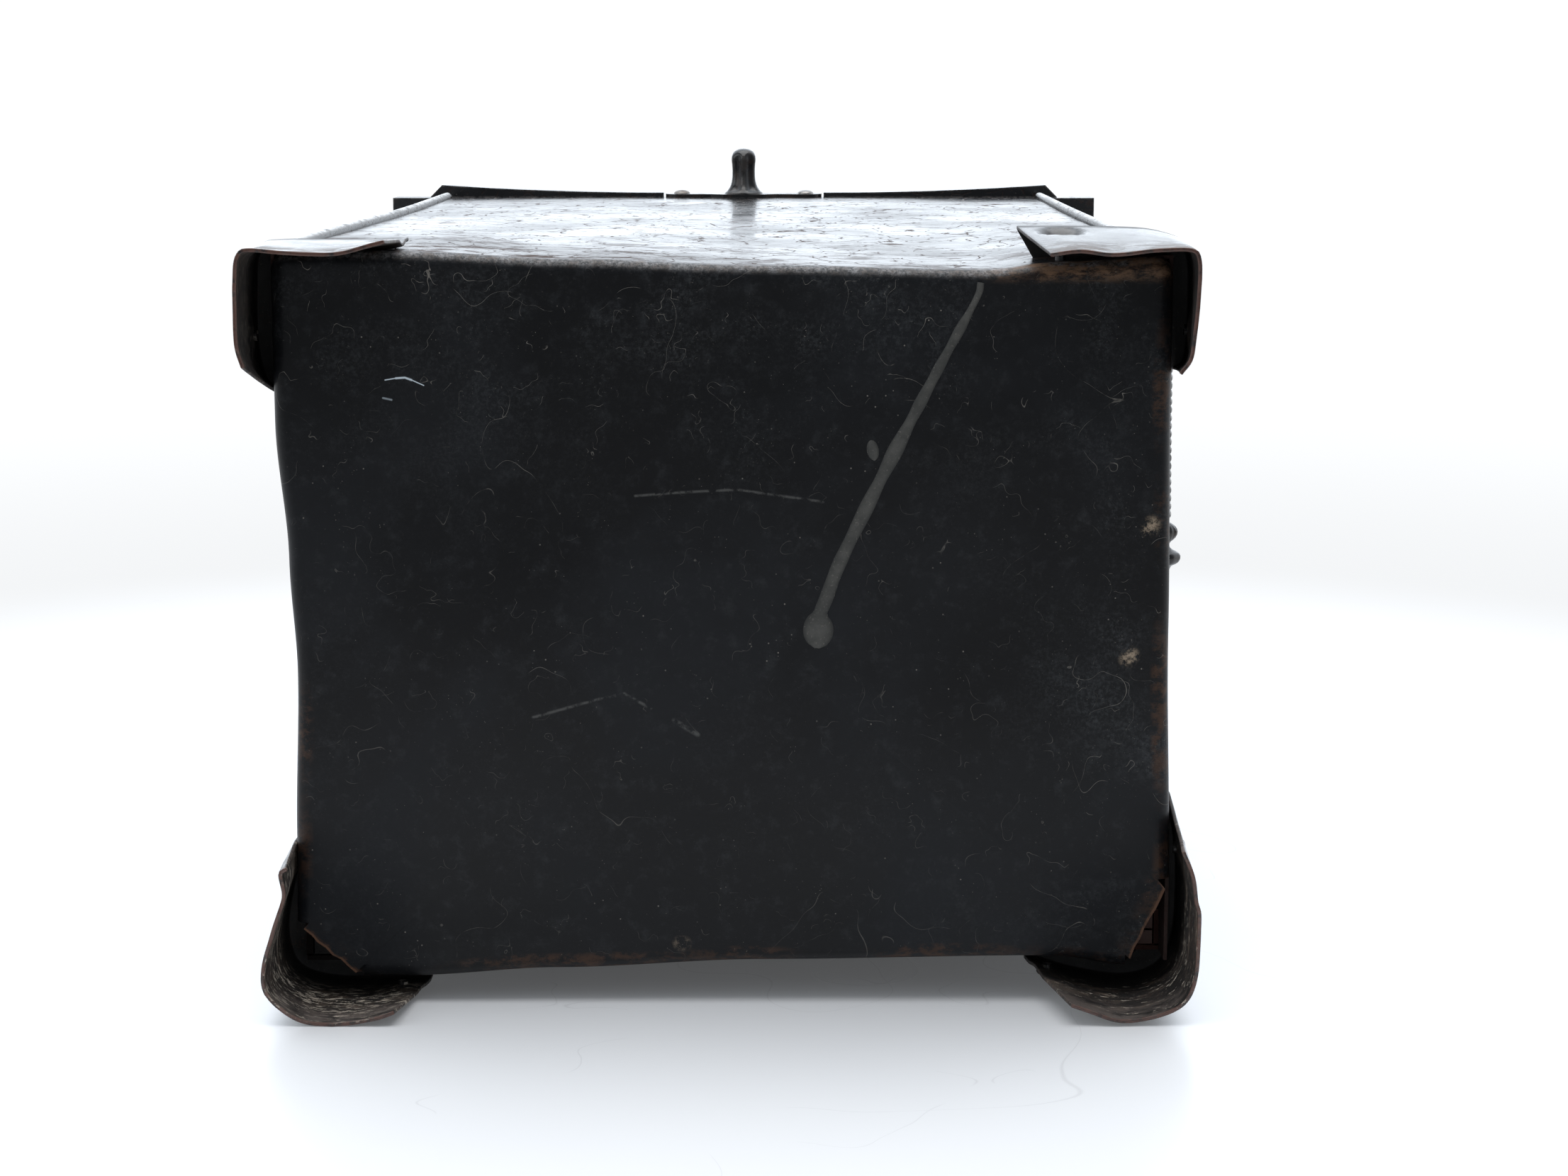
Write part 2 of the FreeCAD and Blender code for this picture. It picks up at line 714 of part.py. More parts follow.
def make_frame():
    """The front frame: four mitred channels, closed behind by one plate that is also the door stop."""
    gauge = dim.rail_gauge
    wall = {
        "top": ([(-frame_half, top), (frame_half, top), (opening_half, opening_high),
                 (-opening_half, opening_high)], 1),
        "bottom": ([(-frame_half, ground), (frame_half, ground), (opening_half, opening_low),
                    (-opening_half, opening_low)], -1),
    }
    mids, spans = frame_screw_spots()
    hole = dim.screw_radius + dim.rivet_clearance
    for level, (outline, upward) in wall.items():
        body = new_body(f"frame_rail_{level}")
        add_slab(body, "XZ_Plane", front, frame_back, [outline])
        outer_z = number(outline[0][1])
        round_edges(body, dim.rail_bend, lambda point: near(point.y, front) and near(point.z, outer_z))
        outer = outline[0][1] - upward * gauge
        inner = outline[2][1] + upward * gauge
        channel = [(-frame_half + gauge, outer), (frame_half - gauge, outer),
                   (opening_half + gauge, inner), (-opening_half - gauge, inner)]
        cut_slab(body, "XZ_Plane", front + gauge, frame_back, [channel])
        holes = [(x, z, hole) for x, z in spans if (number(z) > number(middle)) == (upward > 0)]
        cut_slab(body, "XZ_Plane", front, front + gauge, circles=holes)
    for hand, side in (("left", -1), ("right", 1)):
        body = new_body(f"frame_rail_{hand}")
        outline = [(side * frame_half, ground), (side * frame_half, top),
                   (side * opening_half, opening_high), (side * opening_half, opening_low)]
        add_slab(body, "XZ_Plane", front, frame_back, [outline])
        outer_x = number(side * frame_half)
        round_edges(body, dim.rail_bend, lambda point: near(point.y, front) and near(point.x, outer_x))
        channel = [(side * (frame_half - gauge), gauge), (side * (frame_half - gauge), top - gauge),
                   (side * (opening_half + gauge), opening_high + gauge),
                   (side * (opening_half + gauge), opening_low - gauge)]
        cut_slab(body, "XZ_Plane", front + gauge, frame_back, [channel])
        holes = [(x, z, hole) for x, z in mids if number(x) * side > 0]
        cut_slab(body, "XZ_Plane", front, front + gauge, circles=holes)
        if side > 0:
            slot = rectangle(bolt_y_low - dim.bolt_fit, bolt_z_low - dim.bolt_fit,
                             bolt_y_high + dim.bolt_fit, bolt_z_high + dim.bolt_fit)
            cut_slab(body, "YZ_Plane", opening_half, opening_half + gauge, [slot])

    body = new_body("frame_back_plate")
    ring = [rectangle(-frame_half, ground, frame_half, top),
            rectangle(-opening_half + dim.stop_lap, opening_low + dim.stop_lap,
                      opening_half - dim.stop_lap, opening_high - dim.stop_lap)]
    add_slab(body, "XZ_Plane", frame_back, case_front, ring)
    holes = [(x, z, hole) for x, z in spans + mids]
    cut_slab(body, "XZ_Plane", frame_back, case_front, circles=holes)
    sizes = (dim.screw_radius, dim.screw_head, dim.screw_dome)
    length = dim.rail_depth + dim.back_plate
    entries = [((x, front, z), FRONT, length) for x, z in spans + mids]
    make_fasteners("frame_screws", sizes, entries)


def make_cresting():
    """Two low cresting strips on the top rail, dipping towards the grip between them."""
    inner_x = dim.grip_plate_width / 2 + dim.end_gap * 2
    outer_x = dim.cresting_width / 2
    y_low = front + dim.end_gap * 6
    for hand, side in (("left", -1), ("right", 1)):
        body = new_body(f"cresting_{hand}")
        run = outer_x - dim.cresting_mitre - inner_x
        drop = dim.cresting_end - dim.cresting_middle
        # The top edge is an arc, level at its inner end, that rises by the drop over the run.
        rise_radius = (run * run / drop + drop) / 2
        arc_centre = (side * inner_x, top + dim.cresting_middle + rise_radius)
        outline = [
            (side * inner_x, top),
            (side * inner_x, top + dim.cresting_middle, arc_centre),
            (side * (outer_x - dim.cresting_mitre), top + dim.cresting_end),
            (side * outer_x, top),
        ]
        add_slab(body, "XZ_Plane", y_low, y_low + dim.cresting_depth, [outline])


def make_grip():
    """The cast grip: a domed post that flares on to a long base plate with swelled ends."""
    centre_y = front + dim.grip_plate_depth / 2
    plate = new_body("grip_plate")
    end_x = dim.grip_plate_width / 2
    lobe = dim.grip_eye
    waist = dim.grip_waist
    shoulder = dim.grip_shoulder
    half = dim.grip_plate_depth / 2
    eye = end_x - lobe
    outline = [
        (-end_x, centre_y, (-eye, centre_y)), (-eye, centre_y + lobe),
        (-shoulder, centre_y + waist), (-half, centre_y + half), (half, centre_y + half),
        (shoulder, centre_y + waist), (eye, centre_y + lobe, (eye, centre_y)),
        (end_x, centre_y, (eye, centre_y)), (eye, centre_y - lobe), (shoulder, centre_y - waist),
        (half, centre_y - half), (-half, centre_y - half), (-shoulder, centre_y - waist),
        (-eye, centre_y - lobe, (-eye, centre_y)),
    ]
    add_slab(plate, "XY_Plane", top, top + dim.grip_plate_gauge, [outline])
    screw_hole = dim.screw_radius + dim.rivet_clearance
    cut_slab(plate, "XY_Plane", top, top + dim.grip_plate_gauge,
             circles=[(side * eye, centre_y, screw_hole) for side in (-1, 1)])

    post = new_body("grip_post")
    sketch = new_sketch(post, "XZ_Plane", ground)
    tall = dim.grip_height - dim.grip_plate_gauge
    dome = tall - dim.grip_radius
    axis = 0.0
    outline = [
        (axis, ground),
        (dim.grip_flare, ground),
        (dim.grip_skirt, dim.grip_skirt_rise),
        (dim.grip_throat, dim.grip_throat_rise),
        (dim.grip_neck, dim.grip_neck_rise),
        (dim.grip_radius, dome, (axis, dome)),
        (axis, tall),
    ]
    draw_outline(sketch, outline)
    turned = post.newObject("PartDesign::Revolution", "grip_post_turned")
    turned.Profile = sketch
    turned.ReferenceAxis = (sketch, ["V_Axis"])
    turned.Angle = 360
    place(post, axis, centre_y, top + dim.grip_plate_gauge)

    sizes = (dim.screw_radius, dim.screw_head, dim.screw_dome)
    entries = [((side * eye, centre_y, top + dim.grip_plate_gauge), UP, dim.grip_plate_gauge)
               for side in (-1, 1)]
    make_fasteners("grip_screws", sizes, entries)


# ---------------------------------------------------------------- door

bolt_z_low = dim.key_level + dim.bolt_rise - dim.bolt_width / 2
bolt_z_high = bolt_z_low + dim.bolt_width
bolt_y_low = front + dim.door_gauge + dim.bolt_gauge / 4
bolt_y_high = bolt_y_low + dim.bolt_gauge
bolt_end = door_half - dim.bolt_fit


def keyhole(fit):
    """A keyhole's outline, (x, z): a round eye with a slot below it for the bit."""
    x = dim.lock_offset
    z = dim.key_level
    eye = dim.key_radius + fit
    slot = dim.bit_width / 2 + fit
    low = z - dim.bit_reach - fit
    rise = math.sqrt(number(eye) ** 2 - number(slot) ** 2) / number(eye)
    return [(x - slot, low), (x + slot, low), (x + slot, z - eye * rise, (x, z)),
            (x + eye, z, (x, z)), (x, z + eye, (x, z)), (x - eye, z, (x, z)), (x - slot, z - eye * rise)]


def make_door_pan():
    """The door: a pressed pan, open behind, with the keyhole and the bolt's slot."""
    body = new_body("door_panel")
    back = front + dim.door_depth
    add_slab(body, "XZ_Plane", front, back, [rectangle(-door_half, door_low, door_half, door_high)])
    round_edges(body, dim.door_bend, lambda point: near(point.y, front))
    gauge = dim.door_gauge
    inside = rectangle(-door_half + gauge, door_low + gauge, door_half - gauge, door_high - gauge)
    cut_slab(body, "XZ_Plane", front + gauge, back, [inside])
    cut_slab(body, "XZ_Plane", front, front + gauge, [keyhole(dim.keyhole_fit)])
    slot = rectangle(bolt_y_low - dim.bolt_fit, bolt_z_low - dim.bolt_fit,
                     bolt_y_high + dim.bolt_fit, bolt_z_high + dim.bolt_fit)
    cut_slab(body, "YZ_Plane", door_half - gauge, door_half, [slot])

    cover = new_body("door_inner_plate")
    shy = gauge + dim.pan_clearance
    outline = rectangle(-door_half + shy, door_low + shy, door_half - shy, door_high - shy)
    add_slab(cover, "XZ_Plane", back - gauge, back, [outline])


def make_door_dress():
    """The raised field with its rope border and plain cross, on the door's face."""
    half = dim.field_width / 2
    low = middle - dim.field_height / 2
    high = middle + dim.field_height / 2
    field = new_body("door_field")
    add_slab(field, "XZ_Plane", front - dim.field_gauge, front, [rectangle(-half, low, half, high)])
    field_face = number(front - dim.field_gauge)
    round_edges(field, dim.field_bend, lambda point: near(point.y, field_face))

    border = new_body("door_rope_border")
    gap = dim.pan_clearance
    width = dim.border_width
    ring = [rectangle(-half - gap - width, low - gap - width, half + gap + width, high + gap + width),
            rectangle(-half - gap, low - gap, half + gap, high + gap)]
    add_slab(border, "XZ_Plane", front - dim.border_height, front, ring)
    border_face = number(front - dim.border_height)
    round_edges(border, dim.border_bend, lambda point: near(point.y, border_face))

    cross = new_body("door_cross")
    arm = dim.cross_arm / 2
    reach = dim.cross_width / 2
    foot = middle - dim.cross_height / 2
    head = middle + dim.cross_height / 2
    bar = middle + dim.cross_bar_rise
    outline = [
        (-arm, foot), (arm, foot), (arm, bar - arm), (reach, bar - arm), (reach, bar + arm),
        (arm, bar + arm), (arm, head), (-arm, head), (-arm, bar + arm), (-reach, bar + arm),
        (-reach, bar - arm), (-arm, bar - arm),
    ]
    face_y = front - dim.field_gauge
    add_slab(cross, "XZ_Plane", face_y - dim.cross_gauge, face_y, [outline])
    cross_face = number(face_y - dim.cross_gauge)
    round_edges(cross, dim.cross_gauge / 3, lambda point: near(point.y, cross_face))


def make_lock():
    """The lock: a case in the door, the bolt that slides in it, the key, and the escutcheon."""
    case = new_body("lock_case")
    left = dim.lock_offset - dim.lock_width / 2
    right = door_half - dim.door_gauge - dim.pan_clearance
    low = dim.key_level - dim.lock_height / 2
    case_front_y = front + dim.door_gauge
    case_back_y = front + dim.door_depth - dim.door_gauge - dim.pan_clearance
    outline = rectangle(left, low, right, low + dim.lock_height)
    add_slab(case, "XZ_Plane", case_front_y, case_back_y, [outline])
    fit = dim.bolt_fit
    slot = rectangle(bolt_y_low - fit, bolt_z_low - fit, bolt_y_high + fit, bolt_z_high + fit)
    cut_slab(case, "YZ_Plane", left + dim.door_gauge, right, [slot])
    cut_slab(case, "XZ_Plane", case_front_y, case_back_y - dim.door_gauge,
             circles=[(dim.lock_offset, dim.key_level, dim.bit_reach + dim.key_fit * 3)])

    make_box("lock_bolt", (bolt_end - dim.bolt_length, bolt_y_low, bolt_z_low),
             (bolt_end, bolt_y_high, bolt_z_high))

    plate = new_body("escutcheon")
    x = dim.lock_offset
    z = dim.key_level
    half = dim.escutcheon_width / 2
    rise = dim.escutcheon_height / 2 - half
    outline = [
        (x + half, z - rise), (x + half, z + rise, (x, z + rise)), (x, z + rise + half, (x, z + rise)),
        (x - half, z + rise), (x - half, z - rise, (x, z - rise)), (x, z - rise - half, (x, z - rise)),
    ]
    add_slab(plate, "XZ_Plane", front - dim.escutcheon_gauge, front, [outline])
    cut_slab(plate, "XZ_Plane", front - dim.escutcheon_gauge, front, [keyhole(dim.keyhole_fit)])

    key = keep("lock_key", doc.addObject("Part::MultiFuse", "lock_key"))
    shaft = doc.addObject("Part::Cylinder", "key_shaft")
    bow = doc.addObject("Part::Torus", "key_bow")
    bit = doc.addObject("Part::Box", "key_bit")
    shaft_end = front + dim.door_gauge + dim.bolt_gauge
    bow_y = front - dim.key_reach + dim.bow_radius + dim.bow_wire
    shaft_start = bow_y + dim.bow_radius
    bind(shaft, "Radius", dim.key_radius)
    bind(shaft, "Height", shaft_end - shaft_start)
    shaft.Placement.Rotation = FreeCAD.Rotation(UP, FRONT)
    place(shaft, dim.lock_offset, shaft_end, dim.key_level)
    bind(bow, "Radius1", dim.bow_radius)
    bind(bow, "Radius2", dim.bow_wire)
    bow.Placement.Rotation = FreeCAD.Rotation(UP, RIGHT)
    place(bow, dim.lock_offset, bow_y, dim.key_level)
    bind(bit, "Length", dim.bit_width)
    bind(bit, "Width", dim.bit_length)
    bind(bit, "Height", dim.bit_reach)
    place(bit, dim.lock_offset - dim.bit_width / 2, shaft_end - dim.bit_length,
          dim.key_level - dim.bit_reach)
    key.Shapes = [shaft, bow, bit]


def make_ring_pull():
    """The ring pull: a round plate with a lug, and a ring that hangs in the lug's eye."""
    plate = new_body("ring_plate")
    x = dim.lock_offset
    z = dim.ring_level
    face_y = front - dim.ring_plate_gauge
    add_slab(plate, "XZ_Plane", face_y, front, circles=[(x, z, dim.ring_plate_radius)])
    plate_face = number(face_y)
    round_edges(plate, dim.ring_plate_gauge / 2, lambda point: near(point.y, plate_face))
    half = dim.lug_height / 2
    eye_y = front - dim.ring_stand_off
    root_y = face_y + dim.end_gap
    lug = [(root_y, z - half), (root_y, z + half), (eye_y, z + half, (eye_y, z)),
           (eye_y - half, z, (eye_y, z)), (eye_y, z - half)]
    add_slab(plate, "YZ_Plane", x - dim.lug_width / 2, x + dim.lug_width / 2, [lug])
    cut_slab(plate, "YZ_Plane", x - dim.lug_width / 2, x + dim.lug_width / 2,
             circles=[(eye_y, z, dim.ring_wire + dim.ring_fit)])

    ring = keep("door_ring", doc.addObject("Part::Torus", "door_ring"))
    bind(ring, "Radius1", dim.ring_radius)
    bind(ring, "Radius2", dim.ring_wire)
    ring.Placement.Rotation = FreeCAD.Rotation(UP, FRONT)
    place(ring, x, eye_y, z - dim.ring_radius)


# ---------------------------------------------------------------- hinges

def make_leaf(label, side, centre_z, bands):
    """A hinge leaf with its knuckles: side is -1 for the frame's leaf and +1 for the door's."""
    body = new_body(label)
    half = dim.hinge_height / 2
    near_x = hinge_x + side * dim.door_gap / 2
    far_x = hinge_x + side * dim.leaf_width
    low_x, high_x = (far_x, near_x) if side < 0 else (near_x, far_x)
    plate_y = front - dim.leaf_gauge
    add_slab(body, "XZ_Plane", plate_y, front, [rectangle(low_x, centre_z - half, high_x, centre_z + half)])
    spots = [(hinge_x + side * dim.hinge_rivet_out, centre_z + up * dim.hinge_rivet_rise,
              dim.hinge_rivet + dim.rivet_clearance) for up in (-1, 1)]
    cut_slab(body, "XZ_Plane", plate_y, front, circles=spots)
    for low, high in bands:
        add_slab(body, "XY_Plane", low, high, circles=[(hinge_x, hinge_y, dim.knuckle_radius)])
        web_far = hinge_x + side * (dim.knuckle_radius + dim.leaf_gauge)
        web_low, web_high = (web_far, hinge_x) if side < 0 else (hinge_x, web_far)
        web = rectangle(web_low, plate_y, web_high, front - dim.web_sink)
        add_slab(body, "XY_Plane", low, high, [web])
    bore = dim.pin_radius + dim.pin_fit
    cut_slab(body, "XY_Plane", centre_z - half, centre_z + half, circles=[(hinge_x, hinge_y, bore)])
    return body


def clear_knuckle(body, side, low, high):
    """Cut a leaf's plate back where the other leaf's knuckle turns."""
    reach = hinge_x + side * (dim.knuckle_radius + dim.knuckle_gap)
    low_x, high_x = (reach, hinge_x) if side < 0 else (hinge_x, reach)
    cut_slab(body, "XZ_Plane", front - dim.leaf_gauge, front, [rectangle(low_x, low, high_x, high)])


def make_hinges():
    """Two surface hinges: a fixed leaf on the frame, a moving leaf on the door, and a pin in each."""
    half = dim.hinge_height / 2
    third = dim.hinge_height / 6
    gap = dim.knuckle_gap
    case_entries = []
    door_entries = []
    for name, up in (("upper", 1), ("lower", -1)):
        centre = middle + up * dim.hinge_spread
        outer = [(centre - half, centre - third - gap), (centre + third + gap, centre + half)]
        fixed = make_leaf(f"frame_leaf_{name}", -1, centre, outer)
        clear_knuckle(fixed, -1, centre - third - gap, centre + third + gap)
        moving = make_leaf(f"door_leaf_{name}", 1, centre, [(centre - third, centre + third)])
        clear_knuckle(moving, 1, centre - half, centre - third)
        clear_knuckle(moving, 1, centre + third, centre + half)
        pin = new_body(f"hinge_pin_{name}")
        add_slab(pin, "XY_Plane", centre - half - gap * 5, centre + half + gap * 5,
                 circles=[(hinge_x, hinge_y, dim.pin_radius)])
        for low in (centre - half - gap * 5, centre + half + gap):
            add_slab(pin, "XY_Plane", low, low + gap * 4, circles=[(hinge_x, hinge_y, dim.pin_head)])
        for side, entries in ((-1, case_entries), (1, door_entries)):
            for rise in (-1, 1):
                spot = (hinge_x + side * dim.hinge_rivet_out, front - dim.leaf_gauge,
                        centre + rise * dim.hinge_rivet_rise)
                entries.append((spot, FRONT, dim.leaf_gauge))
    sizes = (dim.hinge_rivet, dim.hinge_rivet_head, dim.leaf_gauge)
    make_fasteners("frame_hinge_rivets", sizes, case_entries)
    make_fasteners("door_hinge_rivets", sizes, door_entries)


# ---------------------------------------------------------------- lining

def make_lining():
    """Five wooden boards line the case between the front frame and the rear panel."""
    start = case_front + dim.end_gap
    end = rear - dim.pan_depth - dim.end_gap
    half = inner_side - dim.angle_gauge - dim.board_gap
    gap = dim.board_joint
    low = inner_bottom + dim.angle_gauge + gap
    high = inner_top - dim.angle_gauge - gap
    board = dim.board
    make_box("floor_board", (-half, start, low), (half, end, low + board))
    make_box("ceiling_board", (-half, start, high - board), (half, end, high))
    side_low = low + board + gap
    side_high = high - board - gap
    make_box("lining_left", (-half, start, side_low), (-half + board, end, side_high))
    make_box("lining_right", (half - board, start, side_low), (half, end, side_high))
    make_box("lining_back", (-half + board + gap, end - board, side_low),
             (half - board - gap, end, side_high))


make_rear_panel()
make_case_sheets()
make_corner_angles()
make_feet()
make_foot_rivets()
make_ropes()
make_frame()
make_cresting()
make_grip()
make_door_pan()
make_door_dress()
make_lock()
make_ring_pull()
make_hinges()
make_lining()
doc.recompute()

# ---------------------------------------------------------------- checks and files

for item in doc.Objects:
    if "Invalid" in item.State or "Error" in item.State:
        raise RuntimeError(f"{item.Label}: {item.State}")

os.makedirs("parts", exist_ok=True)
whole = FreeCAD.BoundBox()
for label, piece in pieces.items():
    shape = piece.Shape
    if shape.isNull() or not shape.isValid() or not shape.Solids:
        raise RuntimeError(label + ": no valid solid")
    whole.add(shape.BoundBox)
    shape.exportStep(f"parts/{label}.step")
    print(f"{label}: {len(shape.Solids)} solid(s), {shape.Volume:.0f} mm3")
print(f"{len(pieces)} nodes, box {whole}")
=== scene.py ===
import json
import math

import bpy
import numpy as np
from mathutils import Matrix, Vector, noise


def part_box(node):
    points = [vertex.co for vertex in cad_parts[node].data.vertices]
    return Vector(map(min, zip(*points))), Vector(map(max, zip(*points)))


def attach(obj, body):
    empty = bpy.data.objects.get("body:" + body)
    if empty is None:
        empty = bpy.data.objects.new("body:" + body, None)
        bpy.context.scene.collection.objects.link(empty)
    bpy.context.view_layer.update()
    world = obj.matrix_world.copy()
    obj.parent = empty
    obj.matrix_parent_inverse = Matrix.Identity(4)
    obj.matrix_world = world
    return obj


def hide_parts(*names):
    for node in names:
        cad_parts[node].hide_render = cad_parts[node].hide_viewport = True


# A tabernacle box of japanned sheet metal, lying on its back, with its four bracket feet towards the camera.
# Everything is in metres in the part's own frame: +Z up, the door towards -Y, the footed panel towards +Y.

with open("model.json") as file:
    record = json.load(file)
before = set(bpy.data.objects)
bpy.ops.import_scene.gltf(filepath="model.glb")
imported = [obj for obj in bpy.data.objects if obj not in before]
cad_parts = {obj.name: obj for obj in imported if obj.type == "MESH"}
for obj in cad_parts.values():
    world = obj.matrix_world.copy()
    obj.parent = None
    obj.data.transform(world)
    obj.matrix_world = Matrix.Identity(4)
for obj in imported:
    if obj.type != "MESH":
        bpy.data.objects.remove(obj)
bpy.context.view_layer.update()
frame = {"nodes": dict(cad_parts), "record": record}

MM = 0.001
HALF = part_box("right_side_sheet")[1].x
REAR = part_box("rear_panel")[1].y
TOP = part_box("top_sheet")[1].z
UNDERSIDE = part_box("bottom_sheet")[0].z
FEET_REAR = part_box("foot_upper_right")[1].y
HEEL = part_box("foot_upper_right")[0].y
SHEET_GAUGE = 1.2 * MM
FOOT_GAUGE = 1.3 * MM
# The rear panel's rolled edge stands flush with the case, and the sheets end behind it.
ROLL = 4.5 * MM
SHEET_END = REAR - ROLL - 0.6 * MM
SWELL_LIMIT = 0.4 * MM
# The panel's two lower corners are cut off: (across, up) for the right-hand and the left-hand corner.
RIGHT_CUT = (23 * MM, 19 * MM)
LEFT_CUT = (15 * MM, 31 * MM)


# ---------------------------------------------------------------- small maths

def ease(value):
    value = min(max(value, 0.0), 1.0)
    return value * value * (3 - 2 * value)


def along(keys, value):
    """Smoothly read a short list of (position, amount) keys."""
    if value <= keys[0][0]:
        return keys[0][1]
    for (low, first), (high, second) in zip(keys, keys[1:]):
        if value <= high:
            return first + (second - first) * ease((value - low) / (high - low))
    return keys[-1][1]


def curve_through(points, count):
    """Evenly spaced points along a Catmull-Rom curve through a few given points."""
    knots = np.array(points, float)
    padded = np.vstack([2 * knots[0] - knots[1], knots, 2 * knots[-1] - knots[-2]])
    fine = []
    for index in range(1, len(padded) - 2):
        before, start, end, after = padded[index - 1:index + 3]
        for step in np.linspace(0, 1, 24, endpoint=False):
            fine.append(0.5 * (2 * start + (end - before) * step
                               + (2 * before - 5 * start + 4 * end - after) * step ** 2
                               + (3 * start - before - 3 * end + after) * step ** 3))
    fine.append(padded[-2])
    fine = np.array(fine)
    runs = np.concatenate([[0], np.cumsum(np.linalg.norm(np.diff(fine, axis=0), axis=1))])
    wanted = np.linspace(0, runs[-1], count)
    return np.column_stack([np.interp(wanted, runs, fine[:, axis]) for axis in range(fine.shape[1])])


def ripple(x, y, z, size, amount):
    """A small unevenness, the same every time, at a given size."""
    return noise.noise(Vector((x, y, z)) / size) * amount


# ---------------------------------------------------------------- the bent case

# How far the case's rear end is knocked out of square, read along each of its four sides.
RIGHT_DENT = [(0.02, -3.2 * MM), (0.06, -4.0 * MM), (0.118, -5.8 * MM), (0.155, -4.0 * MM), (0.20, -0.6 * MM)]
LEFT_BULGE = [(0.04, -2.8 * MM), (0.13, -0.8 * MM), (0.21, 0.2 * MM)]
TOP_BOW = [(-0.15, 1.2 * MM), (-0.112, -0.9 * MM), (-0.088, -3.4 * MM), (-0.01, -1.9 * MM), (0.05, 0.2 * MM),
           (0.11, 2.8 * MM)]
BOTTOM_BOW = [(-0.136, -1.2 * MM), (-0.11, 2.1 * MM), (-0.01, 0.7 * MM), (0.06, -2.2 * MM), (0.11, -5.0 * MM)]


def bent(point):
    """Where a point of the square case really is, after the knocks that the case has had."""
    x, y, z = point
    side_fade = ease((y - 0.08) / (REAR - 0.08))
    lid_fade = ease((y + 0.12) / (REAR + 0.12))
    right = (x + HALF) / (2 * HALF)
    high = (z - UNDERSIDE) / (TOP - UNDERSIDE)
    shift_x = side_fade * (right * along(RIGHT_DENT, z) + (1 - right) * along(LEFT_BULGE, z))
    shift_z = lid_fade * (high * along(TOP_BOW, x) + (1 - high) * along(BOTTOM_BOW, x))
    return Vector((x + shift_x, y, z + shift_z))


# ---------------------------------------------------------------- meshes

def finish_mesh(piece, finish, body, node=None, sharp=35):
    """Shade a piece, give it its finish, hang it on its body, and let it replace a CAD node."""
    piece.data.materials.clear()
    piece.data.materials.append(FINISHES[finish])
    piece.data.shade_smooth()
    piece.data.set_sharp_from_angle(angle=math.radians(sharp))
    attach(piece, body)
    if node:
        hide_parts(node)


def new_piece(name, points, faces, wear=None):
    mesh = bpy.data.meshes.new(name)
    mesh.from_pydata([tuple(point) for point in points], [], faces)
    mesh.validate()
    piece = bpy.data.objects.new(name, mesh)
    bpy.context.scene.collection.objects.link(piece)
    layer = mesh.attributes.new("wear", "FLOAT", "POINT")
    if wear is not None:
        layer.data.foreach_set("value", np.array(wear, np.float32).ravel())
    return piece


def modify(piece, kind, **settings):
    """Add one modifier and apply it."""
    modifier = piece.modifiers.new(kind.title(), kind)
    for key, value in settings.items():
        setattr(modifier, key, value)
    depsgraph = bpy.context.evaluated_depsgraph_get()
    mesh = bpy.data.meshes.new_from_object(piece.evaluated_get(depsgraph))
    piece.modifiers.clear()
    piece.data = mesh
    return piece


def grid_faces(rows, columns, wraps=False):
    """Quads over a grid of points; wraps joins the last column to the first."""
    across = columns if wraps else columns - 1
    return [
        (row * columns + column, row * columns + (column + 1) % columns,
         (row + 1) * columns + (column + 1) % columns, (row + 1) * columns + column)
        for row in range(rows - 1) for column in range(across)
    ]


def closed_tube(rings, sides, first=0):
    """The faces of a tube of rings with both of its ends closed, whose points start at first."""
    faces = grid_faces(rings, sides, True)
    faces.append(tuple(range(sides)))
    faces.append(tuple(rings * sides - 1 - side for side in range(sides)))
    return [tuple(first + index for index in face) for face in faces]


def sheet_piece(name, grid, gauge, wear=None):
    """Sheet metal: a grid of points, thickened to both sides."""
    rows, columns = grid.shape[:2]
    piece = new_piece(name, grid.reshape(-1, 3), grid_faces(rows, columns), wear)
    return modify(piece, "SOLIDIFY", thickness=gauge, offset=0.0, use_even_offset=True,
                  use_quality_normals=True)


def soften(piece, width):
    """Round off a piece's sharp edges."""
    modify(piece, "BEVEL", width=width, segments=2, limit_method="ANGLE", angle_limit=math.radians(50))


def bent_bar(bars, slice_length=24 * MM):
    """Square bars, each (low, high), cut into short slices and bent with the case: their points and faces."""
    points, faces = [], []
    for low, high in bars:
        slices = max(2, math.ceil((high[1] - low[1]) / slice_length))
        spans = max(1, math.ceil((high[0] - low[0]) / slice_length))
        rises = max(1, math.ceil((high[2] - low[2]) / slice_length))
        ring = [(share / spans, 0.0) for share in range(spans)]
        ring += [(1.0, share / rises) for share in range(rises)]
        ring += [(1.0 - share / spans, 1.0) for share in range(spans)]
        ring += [(0.0, 1.0 - share / rises) for share in range(rises)]
        first = len(points)
        for row in range(slices + 1):
            y = low[1] + (high[1] - low[1]) * row / slices
            for across, up in ring:
                x = low[0] + (high[0] - low[0]) * across
                z = low[2] + (high[2] - low[2]) * up
                points.append(bent((x, y, z)))
        faces += closed_tube(slices + 1, len(ring), first)
    return points, faces


def cut_back(place, start):
    """How far a sheet's rear edge is cut back beside a cut-off corner: place runs towards the corner."""
    return 18 * MM * ease((place - start) / (7 * MM))


# ---------------------------------------------------------------- materials

